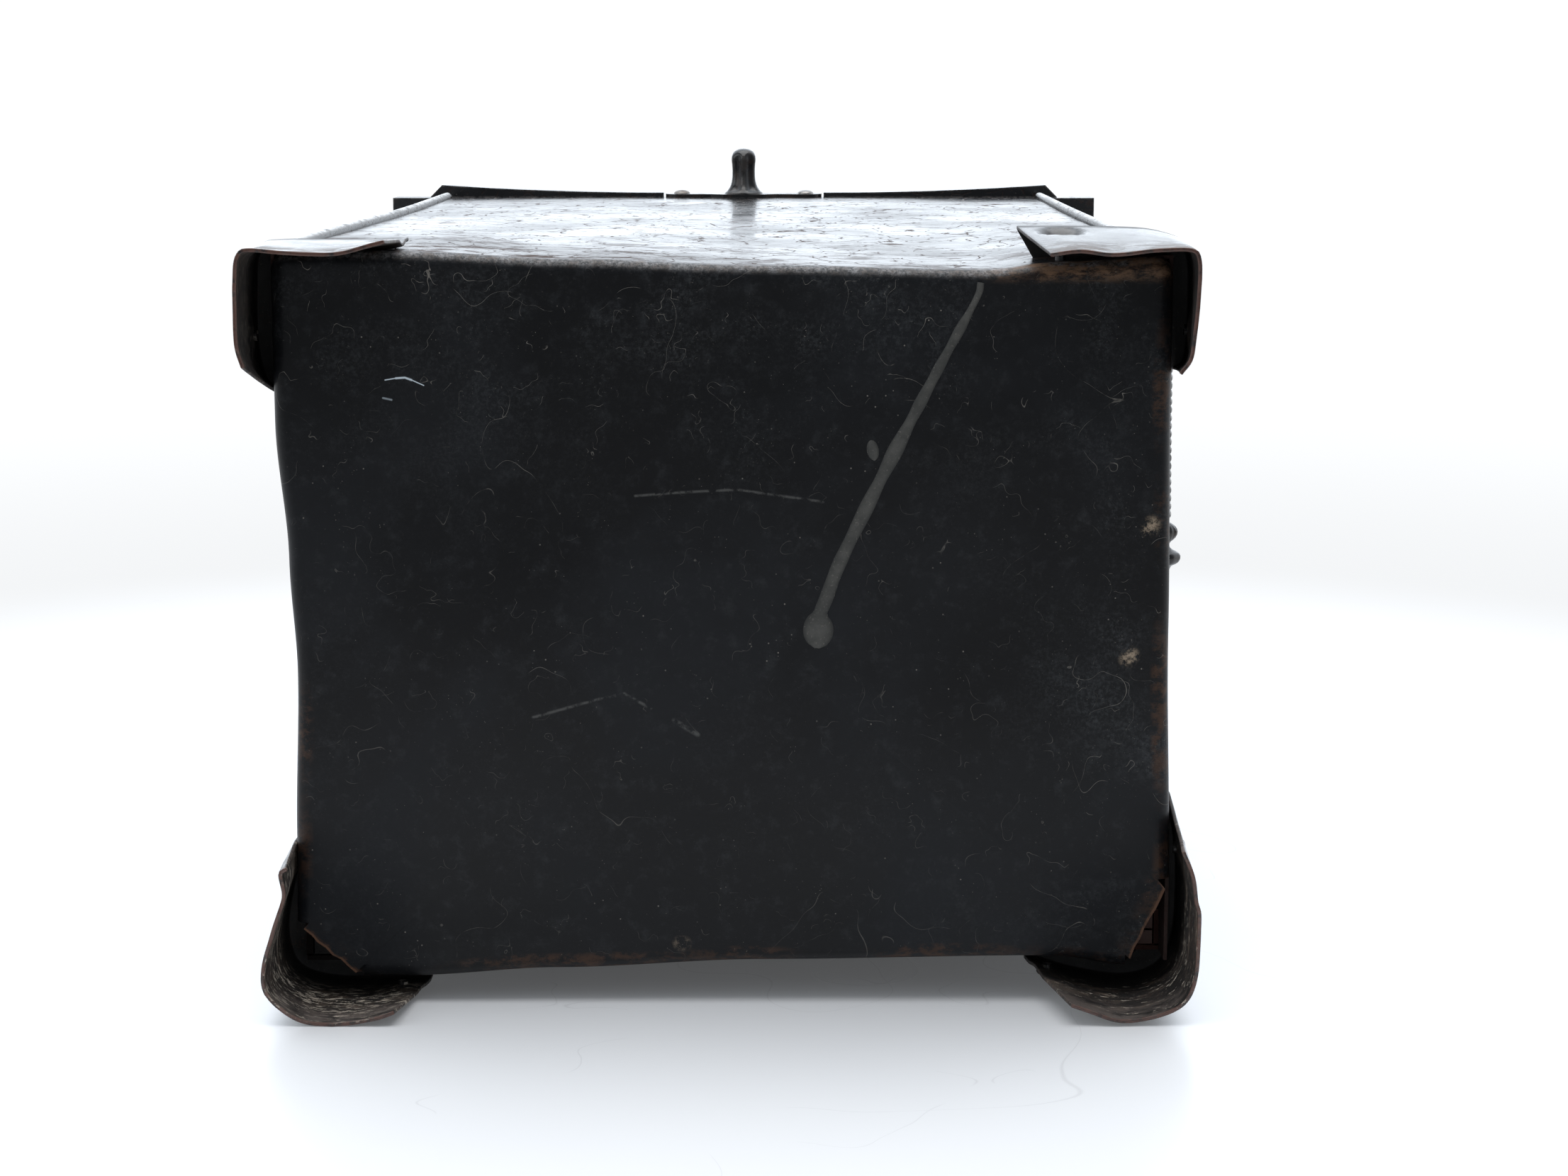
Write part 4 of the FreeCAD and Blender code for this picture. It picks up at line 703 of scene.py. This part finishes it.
def build_rear_panel():
    """The footed panel: a flat face, a rolled edge, and a flange that steps in to sit inside the sheets."""
    outline = panel_outline()
    centre = Vector((0, (TOP + UNDERSIDE) / 2))
    step = SHEET_GAUGE + 0.3 * MM
    shares = (0.08, 0.2, 0.32, 0.44, 0.56, 0.68, 0.8, 0.88, 0.94, 0.975, 0.99, 1.0)
    # Each ring: its share of the way out to the roll, the roll's angle, how far back, and the step inwards.
    flat_rings = [(share, 0, 0.0, 0.0) for share in shares]
    rings = flat_rings + [(1.0, angle, 0.0, 0.0) for angle in (15, 30, 45, 60, 75, 90)]
    skirt = ((0.5, 0.3 * step), (1.2, step), (5, step), (12, step))
    rings += [(1.0, 90, back * MM, inset) for back, inset in skirt]
    points, wear = [], []
    for share, angle, back, stepped in rings:
        turn = math.radians(angle)
        for x, z, inward, folded in outline:
            ragged = ripple(x, 5, z, 0.004, 1.3 * MM)
            inset = ROLL * (1 - math.sin(turn)) + stepped if folded else ragged
            px = centre.x + (x + inward.x * inset - centre.x) * share
            pz = centre.y + (z + inward.y * inset - centre.y) * share
            py = REAR - ROLL * (1 - math.cos(turn)) - back
            py += panel_swell(px, pz) * ease((1 - share) * 6)
            points.append(bent((px, py, pz)))
            rim = max(ease((share - 0.965) / 0.035), 0.0 if folded else ease((share - 0.90) / 0.08))
            upper = 0.45 if pz > centre.y and px > -0.07 else 1.0
            worn = rim * upper * (0.7 + ripple(px, 1, pz, 0.03, 0.6))
            wear.append(RAW_EDGE if share > 0.995 and not folded else worn)
    count = len(outline)
    faces = []
    for ring in range(len(rings) - 1):
        for index in range(count):
            following = (index + 1) % count
            if ring < len(flat_rings) - 1 or (outline[index][3] and outline[following][3]):
                faces.append((ring * count + index, ring * count + following,
                              (ring + 1) * count + following, (ring + 1) * count + index))
    points.append(bent((centre.x, REAR + panel_swell(*centre), centre.y)))
    wear.append(0.0)
    faces += [(len(points) - 1, (index + 1) % count, index) for index in range(count)]
    used = sorted({index for face in faces for index in face})
    renumber = {old: new for new, old in enumerate(used)}
    faces = [tuple(renumber[index] for index in face) for face in faces]
    points, wear = [points[index] for index in used], [wear[index] for index in used]
    piece = new_piece("rear_panel_sheet", points, faces, wear)
    modify(piece, "SOLIDIFY", thickness=SHEET_GAUGE, offset=-1.0)
    finish_mesh(piece, "panel_black", "case", "rear_panel", 50)


# ---------------------------------------------------------------- case sheets

def build_sheet(name, node, finish, rows, columns, margin, place):
    """A case sheet, dented inside its margin and bent with the case.

    place gives a point of the sheet from its shares along the case, across the sheet and of the dent.
    """
    grid = np.zeros((rows, columns, 3))
    for row in range(rows):
        for column in range(columns):
            inside = ease(min(row, rows - 1 - row, column, columns - 1 - column) / margin)
            grid[row, column] = bent(place(row / (rows - 1), column / (columns - 1), inside))
    finish_mesh(sheet_piece(name, grid, SHEET_GAUGE), finish, "case", node)


def build_top_sheet():
    low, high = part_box("top_sheet")

    def place(along_case, across, inside):
        x = low.x + (high.x - low.x) * across
        y = low.y + (SHEET_END - low.y) * along_case
        wave = ripple(x, y, 0, 0.07, 0.8 * MM) + ripple(x * 0.5, y, 4, 0.022, 0.22 * MM)
        return x, y, TOP - SHEET_GAUGE / 2 + wave * inside

    build_sheet("top_sheet_lacquered", "top_sheet", "top_lacquer", 150, 90, 6, place)


def build_side_sheet(name, side, cut_height):
    """A side sheet, cut back at its lower rear corner as far up as cut_height."""
    low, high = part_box(name)

    def place(along_case, across, inside):
        z = low.z + (high.z - low.z) * across
        rear = SHEET_END - cut_back(-z, -UNDERSIDE - cut_height)
        y = low.y + (rear - low.y) * along_case
        dent = abs(ripple(side, y, z, 0.11, 2.2 * MM)) * inside
        return side * (HALF - SHEET_GAUGE / 2 - dent), y, z

    build_sheet(name + "_dented", name, "japanned_steel", 80, 60, 5, place)


def build_bottom_sheet():
    low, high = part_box("bottom_sheet")

    def place(along_case, across, inside):
        x = low.x + (high.x - low.x) * across
        cut = RIGHT_CUT if x > 0 else LEFT_CUT
        rear = SHEET_END - cut_back(abs(x), HALF - cut[0])
        y = low.y + (rear - low.y) * along_case
        return x, y, UNDERSIDE + SHEET_GAUGE / 2 + ripple(x, y, 7, 0.1, 1.2 * MM) * inside

    build_sheet("bottom_sheet_dented", "bottom_sheet", "japanned_steel", 70, 76, 5, place)


# ---------------------------------------------------------------- inside the case

def build_corner_angles():
    """The inside angles, bent with the sheets that they join, with their rear ends pinched in the pan."""
    for level, upward in (("top", 1), ("bottom", -1)):
        for hand, side in (("left", -1), ("right", 1)):
            name = f"corner_angle_{level}_{hand}"
            low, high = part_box(name)
            gauge = 1.5 * MM
            flat = (low.z, low.z + gauge) if upward < 0 else (high.z - gauge, high.z)
            wall = (low.x, low.x + gauge) if side < 0 else (high.x - gauge, high.x)
            rest = (low.z + gauge, high.z) if upward < 0 else (low.z, high.z - gauge)
            bars = [((low.x, low.y, flat[0]), (high.x, high.y, flat[1])),
                    ((wall[0], low.y, rest[0]), (wall[1], high.y, rest[1]))]
            piece = new_piece(name + "_bent", *bent_bar(bars))
            soften(piece, 0.3 * MM)
            finish_mesh(piece, "inner_steel", "case", name)


def build_lining():
    """The wooden lining: each board is three or four planks with open joints, bent with the case."""
    joint = 0.35 * MM
    for name, axis, count in (("floor_board", 0, 4), ("ceiling_board", 0, 4), ("lining_left", 2, 3),
                              ("lining_right", 2, 3), ("lining_back", 2, 3)):
        low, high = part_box(name)
        width = (high[axis] - low[axis]) / count
        bars = []
        for plank in range(count):
            start, end = list(low), list(high)
            start[axis] = low[axis] + width * plank + (joint if plank else 0)
            end[axis] = low[axis] + width * (plank + 1)
            bars.append((start, end))
        piece = new_piece(name + "_planks", *bent_bar(bars))
        soften(piece, 0.5 * MM)
        finish_mesh(piece, "lining_wood", "case", name)


# ---------------------------------------------------------------- feet

# Each foot is one bent sheet. Its sections run from the end of the upright wing, round the corner, to the end
# of the wing across the box: (x, z) in millimetres. The side is +1 for the right and -1 for the left. The
# root is the far edge, and the rim is the near one. The rivets stand so far across the box on one wing, and
# so far up the case on the other.
FEET = {
    "foot_upper_right": {
        "side": 1, "rivets": (111, 229),
        "root": [(151.5, 208.5), (156.8, 213.5), (159.3, 225), (159.3, 244), (158.4, 254.5), (155.0, 258.8),
                 (149, 259.9), (130, 260.0), (115, 260.0), (106.0, 260.4)],
        "rim": [(154.2, 221.8), (156.2, 228.5), (156.3, 240), (155.9, 253), (154.6, 258.3), (151.0, 259.7),
                (138.7, 258.6), (129.0, 258.2), (120, 259.0), (111.0, 261.3), (107.6, 262.2)],
    },
    "foot_upper_left": {
        "side": -1, "rivets": (113, 231),
        "root": [(-154.0, 216.5), (-157.4, 219.0), (-158.8, 228), (-159.0, 245), (-158.5, 254),
                 (-156.2, 258.8), (-149.7, 262.0), (-139, 264.0), (-118, 264.4), (-99.0, 264.4)],
        "rim": [(-149.3, 219.8), (-152.6, 225.0), (-153.4, 234), (-154.6, 247), (-154.4, 256.3),
                (-151.8, 259.6), (-142.3, 259.4), (-127.1, 258.2), (-116.1, 259.4), (-106.5, 258.0)],
    },
    "foot_lower_right": {
        "side": 1, "rivets": (112, 50),
        "root": [(147.4, 57.0), (148.6, 48), (152.6, 34), (154.6, 18), (150.4, 6.0), (139, 1.2),
                 (120, 0.9), (103.5, 1.0)],
        "rim": [(145.0, 54.5), (147.2, 52.6), (146.2, 44.0), (150.6, 31.6), (153.6, 21.0), (153.4, 12.5),
                (148.9, 6.8), (140.0, 1.5), (127, 0.8), (117.0, 2.6), (110.3, 5.0)],
    },
    "foot_lower_left": {
        "side": -1, "rivets": (112, 52),
        "root": [(-154.4, 69.0), (-158.0, 52), (-159.0, 34), (-158.0, 17), (-152.0, 6.0), (-140, 1.6),
                 (-122, 4.0), (-104.8, 9.6)],
        "rim": [(-153.6, 60.5), (-157.2, 51), (-158.4, 43.0), (-159.4, 38.5), (-159.2, 28), (-158.9, 18),
                (-156.6, 10.4), (-152.5, 6.0), (-145.6, 3.2), (-137.6, 2.0), (-130.5, 2.6), (-123, 5.0),
                (-117.4, 7.2)],
    },
}
SECTION_POINTS = 84
# How far the rims stay short of the CAD feet's.
RIM_PLAY = 0.2 * MM
RIVET_Y = REAR - 12 * MM
RIVET_RADIUS = 3.6 * MM
RIVET_DOME = 1.9 * MM
SHORT_SHANK = 2.4 * MM
DISH_RADIUS = 9 * MM
DISH_SLOPE = 6.5 * MM
SHALLOW_DISH = 1.2 * MM
DEEPEST_DISH = 6.5 * MM


def case_section(foot, upward, count):
    """The line where the foot's heel meets the case, along the foot's section."""
    side = foot["side"]
    up_end = foot["root"][0][1] * MM
    across_end = (abs(foot["root"][-1][0]) + (8 if upward > 0 else 2)) * MM
    face = TOP if upward > 0 else UNDERSIDE
    first = abs(face - up_end)
    second = abs(HALF - across_end)
    line = []
    for index in range(count):
        reach = index / (count - 1) * (first + second)
        if reach < first:
            place = bent((side * HALF, HEEL, up_end + upward * reach))
        else:
            place = bent((side * (HALF - (reach - first)), HEEL, face))
        line.append((place.x - side * SHEET_GAUGE, place.z - upward * SHEET_GAUGE))
    return np.array(line)


def build_foot(name, foot):
    upward = 1 if "upper" in name else -1
    root = curve_through(foot["root"], SECTION_POINTS) * MM
    rim = curve_through(foot["rim"], SECTION_POINTS) * MM
    heel = case_section(foot, upward, SECTION_POINTS)
    start = HEEL + FOOT_GAUGE / 2
    # The sheet turns out from the case at its heel, and then runs from the root to the rim.
    sections = [(heel + (root - heel) * share, start) for share in (0.0, 0.5, 0.9)]
    sections += [(root + (rim - root) * share ** 1.15, start + (FEET_REAR - RIM_PLAY - start) * share)
                 for share in (*np.linspace(0.04, 0.96, 24), 0.982, 1.0)]
    rows = len(sections)
    grid = np.zeros((rows, SECTION_POINTS, 3))
    wear = np.zeros((rows, SECTION_POINTS))
    for row, (section, y) in enumerate(sections):
        for column, (x, z) in enumerate(section):
            near_rim = ease((row - rows + 7) / 6)
            at_end = min(column, SECTION_POINTS - 1 - column)
            shake = ripple(x, y, z, 0.012, 0.45 * MM) * (0.3 + 0.7 * near_rim)
            y_edge = y - abs(ripple(x, 3, z, 0.009, 0.9 * MM)) * near_rim
            if column < SECTION_POINTS // 2:
                x += shake
            else:
                z = max(z + shake, FOOT_GAUGE / 2)
            grid[row, column] = (x, y_edge, z)
            wear[row, column] = max(1.0 if row == rows - 1 else 0.55 * (row == rows - 2), 0.6 * (at_end == 0))
    across, up = foot["rivets"]
    spots = [(Vector((foot["side"] * across * MM, RIVET_Y, 0)), 2, upward),
             (Vector((0, RIVET_Y, up * MM)), 0, foot["side"])]
    seats = [dish_boss(grid, *spot, upward) for spot in spots]
    if foot["side"] * upward > 0:
        grid = grid[:, ::-1]
        wear = wear[:, ::-1]
    piece = sheet_piece(name + "_bracket", grid, FOOT_GAUGE, wear)
    soften(piece, 0.3 * MM)
    finish_mesh(piece, "foot_iron", "case", name, 60)
    return seats


def dish_boss(grid, spot, axis, outward, upward):
    """Sink a dish into one wing round its rivet, and give the rivet's seat: place, axis and way out.

    The dish on an upper foot's wing across the box reaches in to the case. The others are shallow.
    """
    half = grid.shape[1] // 2
    wing = grid[3:, half:] if axis == 2 else grid[3:, :half]
    other = 2 - axis
    away = np.hypot(wing[..., 1] - spot.y, wing[..., other] - spot[other])
    nearest = np.unravel_index(np.argmin(away), away.shape)
    case = spot.copy()
    case[axis] = HALF * outward if axis == 0 else (TOP if outward > 0 else UNDERSIDE)
    clear = (wing[nearest][axis] - bent(case)[axis]) * outward - FOOT_GAUGE / 2
    deep = SHALLOW_DISH
    if upward > 0 and axis == 2:
        deep = min(max(clear - 0.2 * MM, 0.6 * MM), DEEPEST_DISH)
    sink = np.array([[ease((DISH_RADIUS - gap) / DISH_SLOPE) for gap in line] for line in away])
    wing[..., axis] -= outward * deep * sink
    if axis == 2 and outward < 0:
        wing[..., 2] = np.maximum(wing[..., 2], FOOT_GAUGE / 2)
    seat = spot.copy()
    seat[axis] = wing[nearest][axis] + outward * FOOT_GAUGE / 2
    return seat, axis, outward


def build_foot_rivets(seats):
    """Eight hand-closed rivets: a low, slightly lopsided dome over a shank, which is long in a deep dish."""
    points, faces, wear = [], [], []
    rings, sides = 9, 28
    for number, (seat, axis, outward) in enumerate(seats):
        first = len(points)
        reach = SHORT_SHANK
        if axis == 2 and outward > 0:
            reach = max(abs(seat.z - TOP), 0.5 * MM) + SHEET_GAUGE
        shank = 0.5 * RIVET_RADIUS
        section = [(shank, -reach), (shank, -0.05 * MM), (0.98 * RIVET_RADIUS, -0.05 * MM)]
        turns = np.linspace(0.05, 1.50, rings)
        section += [(RIVET_RADIUS * math.cos(turn), RIVET_DOME * math.sin(turn)) for turn in turns]
        for wide, out in section:
            for side in range(sides):
                angle = 2 * math.pi * side / sides
                place = seat.copy()
                lean = wide * (1 + 0.05 * math.sin(angle + number) + 0.03 * math.sin(3 * angle + number))
                place[axis] += outward * out
                place[1] += lean * math.cos(angle)
                place[2 - axis] += lean * math.sin(angle)
                points.append(place)
                wear.append(ease(out / RIVET_DOME))
        count = len(section)
        faces += [tuple(first + index for index in face) for face in grid_faces(count, sides, True)]
        faces.append(tuple(first + (count - 1) * sides + side for side in range(sides)))
    piece = new_piece("foot_rivets_domed", points, faces, wear)
    finish_mesh(piece, "foot_iron", "case", "foot_rivets", 40)


def build_feet():
    seats = []
    for name, foot in FEET.items():
        seats += build_foot(name, foot)
    build_foot_rivets(seats)


# ---------------------------------------------------------------- ropes and terminals

STRAND_PITCH = 2.75 * MM
STRANDS = 3
MOULDING_RADIUS = 2.4 * MM
BORDER_RADIUS = 2.9 * MM


def rope_grid(start, end, normal, radius):
    """A twisted rope laid on a face: a lobed section that turns as it goes along a straight line."""
    start, end, normal = Vector(start), Vector(end), Vector(normal)
    length = (end - start).length
    rings = max(2, round(length / (STRAND_PITCH / 7)))
    sides = 20
    across = (end - start).normalized().cross(normal)
    grid = np.zeros((rings + 1, sides, 3))
    wear = np.zeros((rings + 1, sides))
    for ring in range(rings + 1):
        share = ring / rings
        centre = start.lerp(end, share)
        twist = 2 * math.pi * share * length / (STRAND_PITCH * STRANDS)
        tapered = min(1.0, math.sqrt(min(share, 1 - share) * length / (0.8 * radius)) + 0.25)
        for side in range(sides):
            angle = 2 * math.pi * side / sides
            lobe = abs(math.cos(STRANDS * (angle - twist) / 2))
            reach = radius * tapered * (0.72 + 0.28 * lobe ** 0.7)
            out = math.sin(angle) * reach
            point = centre + across * math.cos(angle) * reach + normal * max(out, -0.15 * radius)
            grid[ring, side] = point
            wear[ring, side] = lobe * max(0.0, math.sin(angle))
    return grid, wear


def rope_piece(name, runs, radius, bend=True):
    """One rope moulding made of one or more straight runs: each is (start, end, the face's normal)."""
    points, faces, wear = [], [], []
    for line in runs:
        grid, crown = rope_grid(*line, radius)
        faces += closed_tube(*grid.shape[:2], len(points))
        points += [bent(point) if bend else Vector(point) for point in grid.reshape(-1, 3)]
        wear += list(crown.ravel())
    return new_piece(name, points, faces, wear)


def build_ropes():
    for hand, side in (("left", -1), ("right", 1)):
        names = [f"rope_top_{hand}", f"rope_drop_rear_{hand}", f"rope_drop_front_{hand}"]
        for name in names:
            low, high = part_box(name)
            if name == names[0]:
                x, z = (low.x + high.x) / 2, low.z + 0.3 * MM
                line = (x, low.y, z), (x, high.y, z), (0, 0, 1)
            else:
                x, y = side * (HALF + 1.4 * MM), (low.y + high.y) / 2
                line = (x, y, low.z), (x, y, high.z), (side, 0, 0)
            piece = rope_piece(name + "_twist", [line], MOULDING_RADIUS)
            finish_mesh(piece, "rope_metal", "case", name, 70)


def build_terminals():
    """Cast terminals: a reeded bell, a neck, a knob and a small end, half round against the case's side."""
    profile = [(0.0, 0.30), (0.04, 0.55), (0.12, 0.80), (0.22, 0.86), (0.32, 0.74), (0.40, 0.52),
               (0.47, 0.46), (0.54, 0.60), (0.62, 0.95), (0.70, 1.0), (0.79, 0.88), (0.86, 0.58),
               (0.91, 0.50), (0.96, 0.42), (1.0, 0.08)]
    curve = curve_through(profile, 46)
    for hand, place in (("left", "rear"), ("left", "front"), ("right", "front")):
        name = f"rope_terminal_{place}_{hand}"
        low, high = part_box(name)
        side = -1 if hand == "left" else 1
        tall = high.z - low.z
        reach = high.x - low.x
        half_width = (high.y - low.y) / 2
        y_centre = (low.y + high.y) / 2
        sides = 40
        points = []
        wear = []
        for down, out in curve:
            for step in range(sides):
                angle = math.pi * step / (sides - 1)
                reeds = 1 - 0.07 * abs(math.sin(9 * angle)) * ease(1 - abs(down - 0.2) / 0.2)
                leaf = 1 - 0.05 * abs(math.sin(5 * angle)) * ease(1 - abs(down - 0.70) / 0.15)
                size = out * reeds * leaf
                x = side * (HALF - 0.4 * MM + math.sin(angle) * reach * size)
                y = y_centre - math.cos(angle) * half_width * size
                points.append(bent((x, y, high.z - tall * down)))
                wear.append(size * math.sin(angle))
        rings = len(curve)
        faces = grid_faces(rings, sides)
        faces.append(tuple(range(sides)))
        faces.append(tuple((rings - 1) * sides + sides - 1 - step for step in range(sides)))
        faces += [(row * sides, (row + 1) * sides, (row + 2) * sides - 1, (row + 1) * sides - 1)
                  for row in range(rings - 1)]
        piece = new_piece(name + "_cast", points, faces, wear)
        finish_mesh(piece, "grip_iron", "case", name, 60)


# ---------------------------------------------------------------- grip

def build_grip_post():
    """The cast grip: a domed post with a central ridge, two flutes a side, and a foot that flares out."""
    low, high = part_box("grip_post")
    x_centre, y_centre = (low.x + high.x) / 2, (low.y + high.y) / 2
    tall = high.z - low.z
    flare = (high.x - low.x) / 2
    profile = [(0.0, 1.0), (0.03, 0.97), (0.09, 0.82), (0.18, 0.69), (0.32, 0.61), (0.5, 0.59), (0.64, 0.605),
               (0.76, 0.63), (0.86, 0.60), (0.93, 0.48), (0.98, 0.27), (1.0, 0.02)]
    curve = curve_through(profile, 60)
    sides = 72
    points, wear = [], []
    for up, out in curve:
        depth = ease(up / 0.12) * ease((0.93 - up) / 0.14)
        for step in range(sides):
            angle = 2 * math.pi * step / sides
            ridges = math.cos(6 * angle - math.pi)
            reach = flare * out * (1 + 0.085 * depth * ridges)
            x, y = x_centre + math.cos(angle) * reach, y_centre + math.sin(angle) * reach
            points.append((x, y, low.z + tall * up))
            wear.append(max(0.0, ridges) * depth * 0.8 + ease((up - 0.86) / 0.1) * 0.6)
    rings = len(curve)
    faces = grid_faces(rings, sides, True)
    faces.append(tuple(reversed(range(sides))))
    faces.append(tuple((rings - 1) * sides + step for step in range(sides)))
    piece = new_piece("grip_post_cast", points, faces, wear)
    finish_mesh(piece, "grip_iron", "case", "grip_post", 60)


# ---------------------------------------------------------------- paint run

def build_paint_run():
    """A dried run of paint down the rear panel: a low rounded ridge, a bulb at its end, and one drop."""
    line = curve_through([(-85.8, 250.8), (-84.2, 245.0), (-72.7, 223.0), (-57.4, 193.0), (-39.4, 158.6),
                          (-32.8, 142.6), (-30.4, 136.4), (-29.0, 125.2)], 120) * MM
    points, faces, wear = [], [], []
    sides = 9

    def flatness(level):
        """The share of the panel's swell that is left at a level: it dies out at the panel's edges."""
        middle = (TOP + UNDERSIDE) / 2
        return ease((1 - (level - middle) / (TOP - middle)) * 6)

    def add_ridge(centres, widths, height):
        first = len(points)
        for index, ((x, z), width) in enumerate(zip(centres, widths)):
            ahead = centres[min(index + 1, len(centres) - 1)]
            behind = centres[max(index - 1, 0)]
            run = Vector((ahead[0] - behind[0], ahead[1] - behind[1])).normalized()
            for side in range(sides):
                share = side / (sides - 1) * 2 - 1
                px = x - run.y * width * share
                pz = z + run.x * width * share
                ground = bent((px, REAR, pz))
                lift = height * math.sqrt(max(0.0, 1 - share * share)) + 0.05 * MM
                points.append((ground.x, ground.y + panel_swell(px, pz) * flatness(pz) + lift, ground.z))
                wear.append(abs(share) ** 3)
        faces.extend(tuple(first + index for index in face) for face in grid_faces(len(centres), sides))

    bulb_centre = Vector((-29.6 * MM, 131.4 * MM))
    widths = []
    for index, (x, z) in enumerate(line):
        share = index / (len(line) - 1)
        plain = (1.2 + 1.1 * ease(share / 0.5)) * MM + ripple(0, index * 0.003, 0, 0.03, 0.6 * MM)
        away = (Vector((x, z)) - bulb_centre).length / (6.4 * MM)
        bulb = 5.2 * MM * math.sqrt(max(0.0, 1 - away * away))
        widths.append(max(plain if z > bulb_centre.y else 0.05 * MM, bulb))
    add_ridge(line, widths, 0.55 * MM)
    drop = curve_through([(-49.6, 197.0), (-50.0, 194.5), (-50.6, 190.0)], 14) * MM
    shares = np.linspace(0, 1, 14)
    add_ridge(drop, [2 * MM * math.sqrt(max(0.02, 1 - (2 * share - 1) ** 2)) for share in shares], 0.4 * MM)
    piece = new_piece("paint_run", points, faces, wear)
    modify(piece, "SOLIDIFY", thickness=0.5 * MM, offset=-1.0)
    finish_mesh(piece, "dried_run", "case", sharp=60)


# ---------------------------------------------------------------- door dress

def build_door_border():
    """The rope border round the door's raised field: four twisted runs that meet at the corners."""
    low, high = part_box("door_rope_border")
    y = high.y - 0.4 * MM
    x0, x1 = low.x + 3 * MM, high.x - 3 * MM
    z0, z1 = low.z + 3 * MM, high.z - 3 * MM
    out = (0, -1, 0)
    runs = [((x0, y, z0), (x1, y, z0), out), ((x1, y, z0), (x1, y, z1), out),
            ((x1, y, z1), (x0, y, z1), out), ((x0, y, z1), (x0, y, z0), out)]
    piece = rope_piece("door_border_twist", runs, BORDER_RADIUS, bend=False)
    finish_mesh(piece, "aged_brass", "door", "door_rope_border", 70)


build_rear_panel()
build_top_sheet()
build_side_sheet("right_side_sheet", 1, RIGHT_CUT[1])
build_side_sheet("left_side_sheet", -1, 0.0)
build_bottom_sheet()
build_corner_angles()
build_lining()
build_feet()
build_ropes()
build_terminals()
build_grip_post()
build_paint_run()
build_door_border()


# ---------------------------------------------------------------- floor, light and camera

SURROUND = (0.97, 0.985, 1.0)
SKY = (0.86, 0.925, 1.0)
FLOOR_REACH = 6.0


def build_floor():
    """A pale sheet under the box, faintly glossy and finely scratched, that fades into a white sweep."""
    paint = Finish("floor_paint", Specular_IOR_Level=0.5)
    scratches = paint.either(paint.hairs(0.22, 0.0008, 0.48, 44.0), paint.hairs(0.09, 0.0016, 0.55, 63.0))
    soft = paint.cloud(0.4, 3, 0.5)
    colour = paint.blend(soft, (0.80, 0.81, 0.83), (0.84, 0.845, 0.86))
    colour = paint.blend(paint.both(scratches, 0.55), colour, (0.62, 0.62, 0.64))
    paint.shade(Base_Color=colour, Roughness=paint.between(soft, 0.3, 0.7, 0.26, 0.36))
    # The sweep glows by itself, less so far out on the camera's side, except to the camera.
    radius = paint.vector("LENGTH", paint.place, output="Value")
    lit = paint.between(radius, 0.60, 1.80, 0.93, 1.05)
    unseen = paint.between(paint.at("Y"), 0.45, 1.10, 1.0, 0.25)
    strength = paint.both(lit, paint.either(unseen, paint.camera_ray()))
    glow = paint.feed(paint.node("Emission"), Color=(*SURROUND, 1.0), Strength=strength)
    mix = paint.feed(paint.node("MixShader"), Fac=paint.between(radius, 0.25, 0.76, 0.075, 1.0))
    paint.give(mix.inputs[1], paint.shader.outputs["BSDF"])
    paint.give(mix.inputs[2], glow.outputs["Emission"])
    paint.feed(paint.nodes["Material Output"], Surface=mix.outputs["Shader"])
    mesh = bpy.data.meshes.new("floor")
    corners = [(-1, -1), (1, -1), (1, 1), (-1, 1)]
    mesh.from_pydata([(x * FLOOR_REACH, y * FLOOR_REACH, 0) for x, y in corners], [], [(0, 1, 2, 3)])
    floor = bpy.data.objects.new("floor", mesh)
    bpy.context.scene.collection.objects.link(floor)
    mesh.materials.append(paint.material)


def area_light(name, place, target, size, watts, colour=(1, 1, 1)):
    light = bpy.data.lights.new(name, "AREA")
    light.shape = "RECTANGLE"
    light.size, light.size_y = size
    light.energy = watts
    light.color = colour
    lamp = bpy.data.objects.new(name, light)
    lamp.location = place
    lamp.rotation_euler = (Vector(target) - Vector(place)).to_track_quat("-Z", "Y").to_euler()
    bpy.context.scene.collection.objects.link(lamp)


def build_light():
    """A white surround, brighter over and behind the box than on the camera's side."""
    world = bpy.data.worlds.new("studio")
    bpy.context.scene.world = world
    sky = Tree(world)
    seen = sky.camera_ray()
    across = sky.split(sky.node("TexCoord").outputs["Generated"], "Y")
    fall = sky.between(across, -0.75, 0.60, 2.15, 0.30)
    strength = sky.feed(sky.node("Mix"), Factor=seen, A=fall, B=1.05).outputs["Result"]
    sky.feed(sky.nodes["Background"], Color=sky.blend(seen, SKY, SURROUND), Strength=strength)
    area_light("over_light", (0.0, 0.15, 1.8), (0, 0.1, 0.1), (1.8, 1.8), 28)
    area_light("left_light", (1.5, 0.9, 0.9), (0, 0.1, 0.12), (0.9, 0.9), 5, (0.9, 0.96, 1.0))


# How far the camera stands aside of the box's middle, away from the footed panel and over the floor, and how
# far down it looks, in degrees.
CAMERA_ASIDE = -0.0224
CAMERA_AWAY = 0.989
CAMERA_HEIGHT = 0.316
CAMERA_TILT = 9.8


def build_camera():
    """Low and square on to the footed panel, a little above the box's top."""
    data = bpy.data.cameras.new("camera")
    camera = bpy.data.objects.new("camera", data)
    bpy.context.scene.collection.objects.link(camera)
    camera.location = (CAMERA_ASIDE, REAR + CAMERA_AWAY, CAMERA_HEIGHT)
    camera.rotation_euler = (math.radians(90 - CAMERA_TILT), 0, math.radians(180))
    data.lens = 68.57
    data.sensor_width = 36.0
    data.shift_x = -0.0032
    data.clip_start = 0.01
    bpy.context.scene.camera = camera


build_floor()
build_light()
build_camera()
bpy.context.scene.view_settings.view_transform = "Standard"
